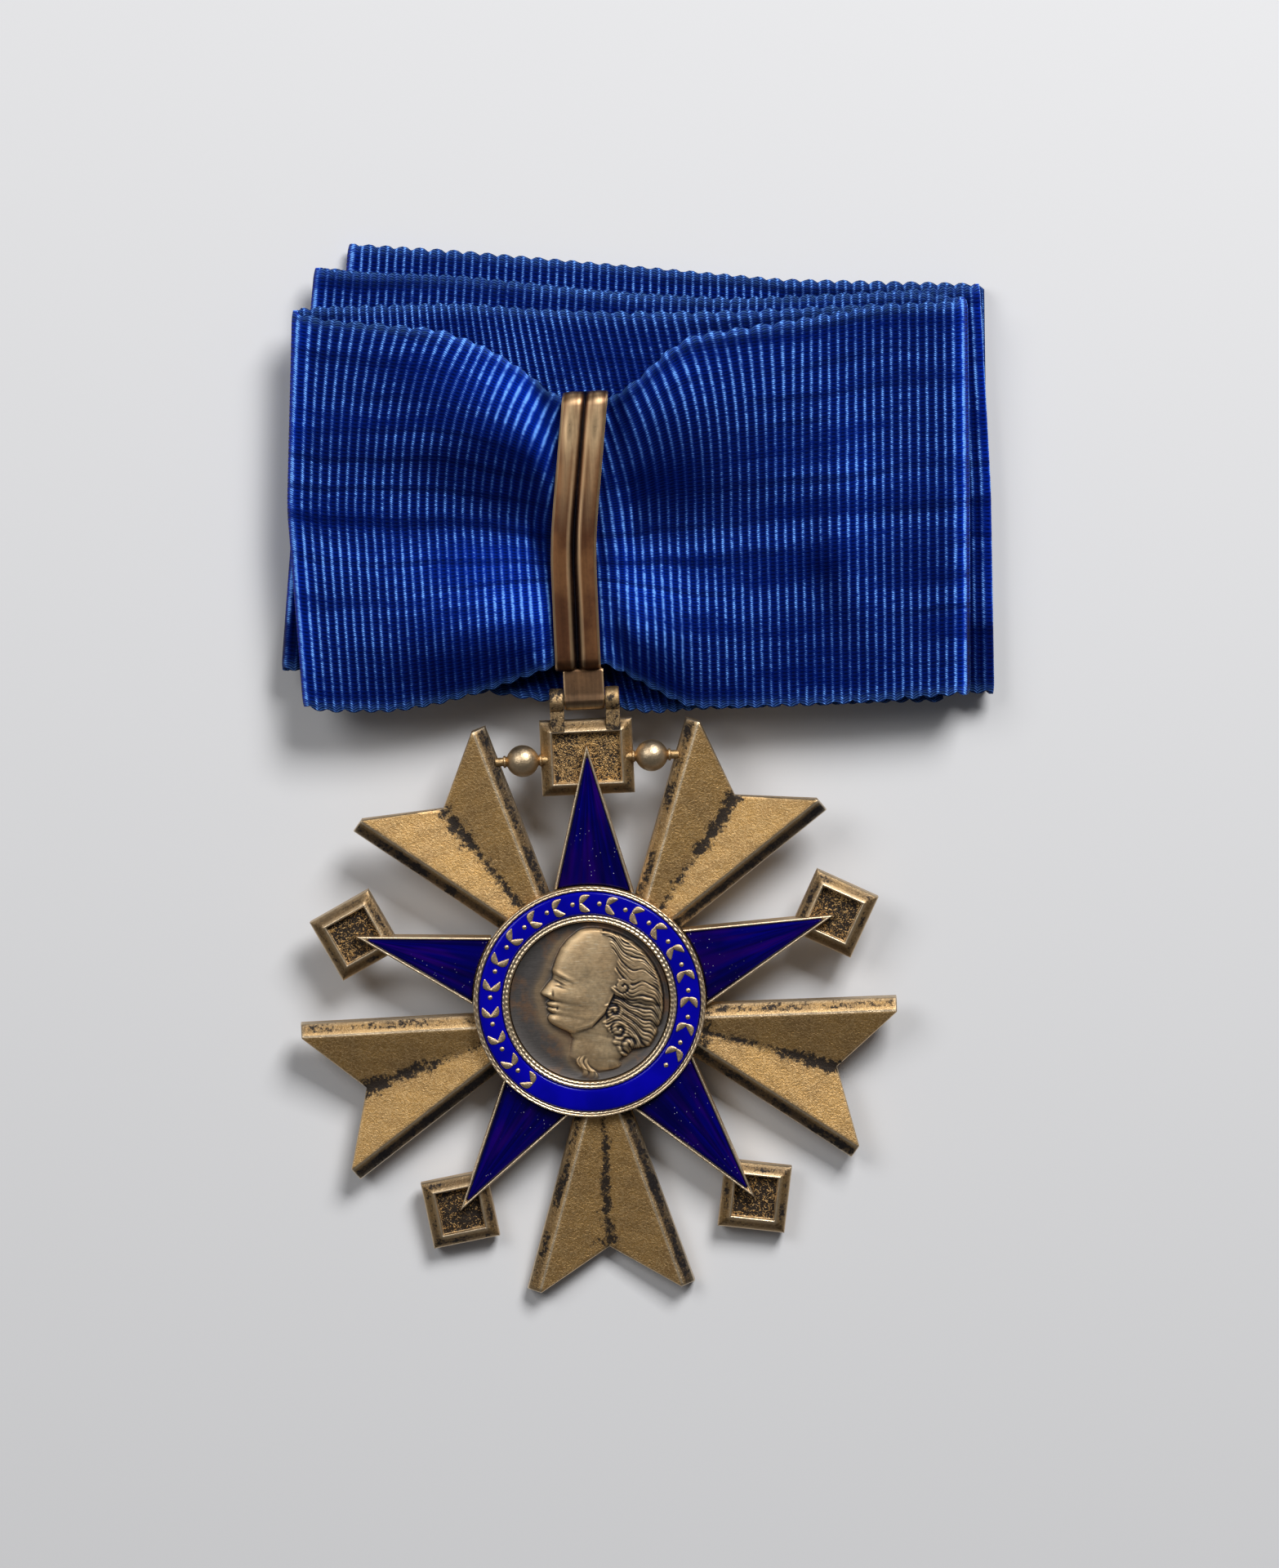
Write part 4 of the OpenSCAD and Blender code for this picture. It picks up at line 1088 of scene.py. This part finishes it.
# Medallion: a sunk dish of darkened gilt metal with a large head in low relief, facing
# left, its hair in fine waves. The face is a plain ideal one.
def head_height(x, y):
    """Relief of the head in millimetres, at places given as shares of the disc's radius.

    A table gives the front edge, back edge and height for each row up the head. Rounded
    bumps and dents are added for brow, eye, nose, lips, chin, cheek and jaw. Hair is a sum
    of ridges along flow lines, with short locks as spirals.
    """
    rows = np.array([
        (-0.86, -0.06, 0.2, 0.5), (-0.78, -0.14, 0.38, 0.7), (-0.62, -0.13, 0.5, 0.78),
        (-0.5, -0.13, 0.62, 0.8), (-0.44, -0.2, 0.74, 0.8), (-0.41, -0.33, 0.8, 0.76),
        (-0.37, -0.42, 0.81, 0.8), (-0.32, -0.455, 0.83, 0.82), (-0.28, -0.445, 0.84, 0.82),
        (-0.255, -0.43, 0.85, 0.82), (-0.23, -0.475, 0.85, 0.84), (-0.205, -0.478, 0.86, 0.84),
        (-0.19, -0.455, 0.86, 0.85), (-0.17, -0.49, 0.87, 0.85), (-0.15, -0.495, 0.87, 0.86),
        (-0.12, -0.46, 0.88, 0.87), (-0.1, -0.47, 0.88, 0.88), (-0.08, -0.56, 0.89, 0.89),
        (-0.05, -0.585, 0.89, 0.9), (-0.02, -0.57, 0.9, 0.92), (0.06, -0.53, 0.9, 0.94),
        (0.14, -0.488, 0.9, 0.96), (0.18, -0.485, 0.89, 0.97), (0.24, -0.5, 0.88, 0.98),
        (0.36, -0.485, 0.84, 1.0), (0.5, -0.45, 0.76, 0.98), (0.62, -0.385, 0.68, 0.94),
        (0.74, -0.285, 0.56, 0.9), (0.84, -0.16, 0.42, 0.85), (0.9, -0.04, 0.3, 0.8),
        (0.94, 0.08, 0.16, 0.7),
    ])

    from_middle = np.hypot(x, y)
    x, y = (x - 0.045) / 1.08, y / 1.09
    # the whole head is tipped back about its middle
    c, s = math.cos(math.radians(13)), math.sin(math.radians(13))
    u, v = x - 0.06, y - 0.1
    x, y = u * c - v * s + 0.08, u * s + v * c + 0.07

    def from_row(column):
        spread = (-0.012, 0, 0.012)
        return np.mean([np.interp(y + s, rows[:, 0], rows[:, column]) for s in spread], axis=0)

    def bump(cx, cy, sx, sy, degrees):
        c, s = math.cos(math.radians(degrees)), math.sin(math.radians(degrees))
        u, v = (x - cx) * c + (y - cy) * s, -(x - cx) * s + (y - cy) * c
        return np.exp(-((u / sx) ** 2) - (v / sy) ** 2)

    def step(value, low, high):
        t = unit((value - low) / (high - low))
        return t * t * (3 - 2 * t)

    front, back, high = from_row(1), from_row(2), from_row(3)
    back = back + 0.03 + 0.03 * np.sin(17 * y + 1.5) * (y < 0.6) + 0.014 * np.sin(41 * y)
    within = np.minimum(x - front, back - x)
    ends = np.minimum(step(y + 0.3 * x, -0.88, -0.5), 1 - step(y, 0.86, 0.955))
    round_off = 1 - np.exp(-np.clip(within, 0, None) / 0.06)
    body = high * round_off * (0.35 + 0.65 * ends) * unit(ends / 0.3)
    body = body * (within > 0) * (y > -0.86) * (y < 0.95)
    arch = 0.82 + 0.18 * step(x - front, 0.0, 0.5)
    face = body * arch

    # neck behind and under the jaw
    jaw = np.interp(x, [-0.45, -0.3, -0.1, 0.08, 0.2, 0.26], [-0.42, -0.44, -0.4, -0.3, -0.12, 0.1])
    under = 1 - step(y - jaw, -0.05, 0.015)
    face = face * (1 - 0.26 * under * step(x, -0.46, -0.3))
    # features: amount, place, size, turn in degrees
    features = [
        (-0.22, -0.395, 0.1, 0.075, 0.05, -12),  # socket
        (0.12, -0.4, 0.085, 0.036, 0.026, -10),  # eyeball
        (0.06, -0.38, 0.125, 0.075, 0.011, -16),  # upper lid
        (-0.06, -0.37, 0.06, 0.07, 0.009, -6),  # lower lid
        (0.1, -0.37, 0.2, 0.13, 0.03, -14),  # brow
        (-0.05, -0.36, 0.165, 0.1, 0.012, -15),  # under the brow
        (0.1, -0.475, -0.055, 0.034, 0.03, 0),  # wing of the nose
        (-0.1, -0.43, -0.045, 0.013, 0.045, 14),  # nostril's fold
        (-0.08, -0.5, -0.092, 0.03, 0.01, 0),  # under the nose
        (0.07, -0.43, -0.155, 0.045, 0.02, 12),  # upper lip
        (0.07, -0.42, -0.222, 0.045, 0.02, -10),  # lower lip
        (-0.1, -0.41, -0.19, 0.05, 0.008, 3),  # mouth
        (-0.07, -0.352, -0.195, 0.014, 0.03, 0),  # corner of the mouth
        (-0.05, -0.4, -0.265, 0.05, 0.016, 0),  # under the lip
        (0.07, -0.38, -0.34, 0.06, 0.05, 0),  # chin
        (0.09, -0.2, -0.02, 0.16, 0.12, -20),  # cheek
        (0.05, 0.02, -0.22, 0.12, 0.07, 30),  # jaw
        (-0.05, -0.08, 0.22, 0.07, 0.1, 0),  # temple
    ]
    for amount, *where in features:
        face = face + amount * bump(*where)

    # hair, behind a line from the crown to the nape
    # height, place of the hairline
    line = np.array([
        (-0.8, 0.55), (-0.5, 0.42), (-0.3, 0.24), (-0.12, 0.2), (0.1, 0.26), (0.34, 0.26),
        (0.55, 0.2), (0.72, 0.07), (0.84, -0.1), (0.92, -0.28),
    ])
    hairline = np.interp(y, *line.T)
    hairline = hairline + 0.026 * np.sin(29 * y) + 0.014 * np.sin(61 * y + 1)
    hair = step(x - hairline, -0.012, 0.03)
    warp = 0.05 * np.sin(5.1 * x - 3.3 * y + 0.7) + 0.03 * np.sin(8.7 * y + 2.2 * x)
    flow = y + warp + 0.5 * (x - 0.3) ** 2 + 0.24 * (x - 0.3)
    flow += 0.042 * np.sin(15 * x + 5 * y + 9 * warp)
    strand = np.abs(np.sin(np.pi * flow / 0.125)) ** 0.6
    fine = np.abs(np.sin(np.pi * (flow + 0.012 * np.sin(31 * x)) / 0.042)) ** 0.8
    wave = 0.5 + 0.5 * np.sin(9 * x + 6 * flow)
    locks = 0.1 * strand + 0.075 * fine + 0.07 * wave
    # curls: place, size, way round
    curls = [
        (0.3, -0.1, 0.1, 1), (0.4, -0.3, 0.11, -1), (0.56, -0.45, 0.12, 1), (0.36, 0.2, 0.09, -1),
    ]
    for cx, cy, size, way in curls:
        far, angle = np.hypot(x - cx, y - cy), np.arctan2(y - cy, x - cx)
        curl = 0.5 + 0.5 * np.cos(way * angle - far * 62)
        inside = 1 - step(far, size * 0.8, size * 1.15)
        locks = locks * (1 - inside) + inside * (0.13 * curl ** 0.7 + 0.05 * fine + 0.06)
    height = face + hair * (face > 0.02) * (locks - 0.1)
    height = height * (1 - step(from_middle, 0.9, 0.96))
    # a lock that falls in front of the neck
    down = unit(-0.46 - y)
    path = -0.02 + 0.35 * down + 0.035 * np.sin(27 * y)
    side = (x - path) / (0.035 + 0.2 * down)
    part = step(y, -0.96, -0.84) * (1 - step(y, -0.56, -0.48)) * (1 - step(np.abs(side), 0.6, 1.0))
    fall = 0.14 + 0.12 * np.abs(np.sin(np.pi * (1.6 * side + 0.25 * np.sin(19 * y)))) ** 0.7
    height = np.maximum(height, part * fall + (height > 0.05) * part * 0.1)
    return np.clip(height, 0, 1.06)


def medallion_object():
    """The dish as one height field on a square grid that is stretched to a circle."""
    n, radius = 250, 7.74
    u, v = np.meshgrid(np.linspace(-1, 1, n), np.linspace(-1, 1, n), indexing="ij")
    x, y = u * np.sqrt(1 - v ** 2 / 2), v * np.sqrt(1 - u ** 2 / 2)
    relief = head_height(x, y)
    far = np.hypot(x, y)
    dish = 0.75 + 0.16 * unit((far - 0.86) / 0.14) ** 2
    dish += 0.05 * bell(far, 0.55)
    upper = np.stack([x * radius, y * radius, dish + relief], axis=-1).reshape(-1, 3)
    count = n * n
    _, _, walls = slab_faces(n, n)
    ring = walls[:, 0]
    lower = upper[ring] * [1, 1, 0]
    low = count + np.arange(len(ring))
    walls = np.stack([ring, np.roll(ring, -1), np.roll(low, -1), low], axis=-1)
    faces = [grid_faces(n, n), walls, low[None, ::-1]]
    points = on_star(np.concatenate([upper, lower]))

    def blurred(values, times):
        m = values.copy()
        for _ in range(times):
            m[1:-1, 1:-1] = (m[:-2, 1:-1] + m[2:, 1:-1] + m[1:-1, :-2] + m[1:-1, 2:]) / 4
        return m

    wide = blurred(relief, 260)
    detail = relief - blurred(relief, 14)
    # the hair's many recesses hold more of the patina than the plain skin
    busy = blurred(np.abs(detail), 30) * unit((far - 0.1) / 0.2) * (x > 0.2)
    raised = 0.58 + 11 * detail + 1.6 * np.minimum(relief - wide, 0.02) - 16 * busy
    raised = unit(raised)
    body = unit(relief / 0.35)
    halo = unit(wide / 0.05) * (1 - unit((wide - 0.1) / 0.16)) * (1 - body)
    halo = halo * unit((0.93 - far) / 0.1)
    tail = np.zeros(len(ring))

    look = Look("medallion_metal", Metallic=0.85)
    place = look.place()
    proud, solid = look.attribute("proud"), look.attribute("solid")
    ring_light = look.attribute("halo")
    broad = look.noise(place, 420.0, detail=4.0)
    fine = look.noise(place, 2600.0, detail=3.0)
    slanted = look.stretched(place, (900.0, 7000.0, 900.0), turn=0.9)
    scratch = look.noise(slanted, 1.0, detail=2.0)
    rust = look.noise(place, 300.0, detail=5.0, roughness=0.65).step(0.5, 0.66)
    ground = look.mix(rust * 0.6, (0.11, 0.1, 0.095, 1), (0.26, 0.14, 0.07, 1))
    ground = look.mix((ring_light * (0.5 + broad)).cut() * 0.75, ground, (0.34, 0.24, 0.14, 1))
    metal = look.mix(broad.step(0.35, 0.7), (0.66, 0.46, 0.25, 1), (0.74, 0.55, 0.32, 1))
    metal = look.mix(scratch.step(0.55, 0.75) * 0.5, metal, (0.9, 0.78, 0.56, 1))
    bright = (proud * 1.2 + fine * 0.4 - 0.2).cut()
    high = look.mix(bright, (0.022, 0.02, 0.024, 1), metal)
    look.give(
        Base_Color=look.mix(solid.step(0.1, 0.9), ground, high),
        Roughness=0.44 + 0.2 * fine,
        Normal=look.bump(fine * 0.5 + scratch * 0.5, 0.00002),
    )
    made = mesh_object(
        "medallion_head", points, faces, look, "badge", proud=twice(raised.ravel(), tail),
        solid=twice(body.ravel(), tail), halo=twice(halo.ravel(), tail),
    )
    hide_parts("medallion")


medallion_object()


# Floor: a plain pale sheet under the badge.
def floor_object():
    mesh = bpy.data.meshes.new("floor")
    corners = [(-1.5, -1.5, 0), (1.5, -1.5, 0), (1.5, 1.5, 0), (-1.5, 1.5, 0)]
    mesh.from_pydata(corners, [], [(0, 1, 2, 3)])
    look = Look("floor", Roughness=0.9, Base_Color=(0.66, 0.66, 0.67, 1))
    mesh.materials.append(look.material)
    made = bpy.data.objects.new("floor", mesh)
    made.location.z = -0.0002
    bpy.context.scene.collection.objects.link(made)


floor_object()


# Studio light: a large soft panel above the top of the picture, a weak one opposite, and a
# pale surround.
def studio():
    # name, place, width, height, watts
    panels = [
        ("key", (0.22, 0.36, 0.46), 0.26, 0.26, 4.2),
        ("side", (-0.34, 0.22, 0.50), 0.30, 0.30, 1.4),
    ]
    for name, at, wide, tall, power in panels:
        lamp = bpy.data.lights.new(name, "AREA")
        lamp.shape, lamp.size, lamp.size_y, lamp.energy = "RECTANGLE", wide, tall, power
        made = bpy.data.objects.new(name, lamp)
        bpy.context.scene.collection.objects.link(made)
        made.location = at
        aim = Vector((0.0, -0.027, 0.0)) - Vector(at)
        made.rotation_mode = "QUATERNION"
        made.rotation_quaternion = aim.to_track_quat("-Z", "Y")
    world = bpy.data.worlds.new("surround")
    world.use_nodes = True
    sky = world.node_tree.nodes["Background"].inputs
    sky["Color"].default_value, sky["Strength"].default_value = (0.95, 0.96, 1.0, 1), 0.10
    bpy.context.scene.world = world
    bpy.context.scene.view_settings.view_transform = "Standard"


studio()


# Camera: straight above the badge, turned with the picture.
def camera():
    data = bpy.data.cameras.new("camera")
    data.sensor_fit = "VERTICAL"
    sensor, distance, seen = 36.0, 0.7, 0.1536
    data.sensor_width = data.sensor_height = sensor
    data.lens = sensor * distance / seen
    made = bpy.data.objects.new("camera", data)
    bpy.context.scene.collection.objects.link(made)
    made.location = (-0.00123, -0.02717, distance)
    made.rotation_euler = (0, 0, math.radians(TILT))
    bpy.context.scene.camera = made


camera()
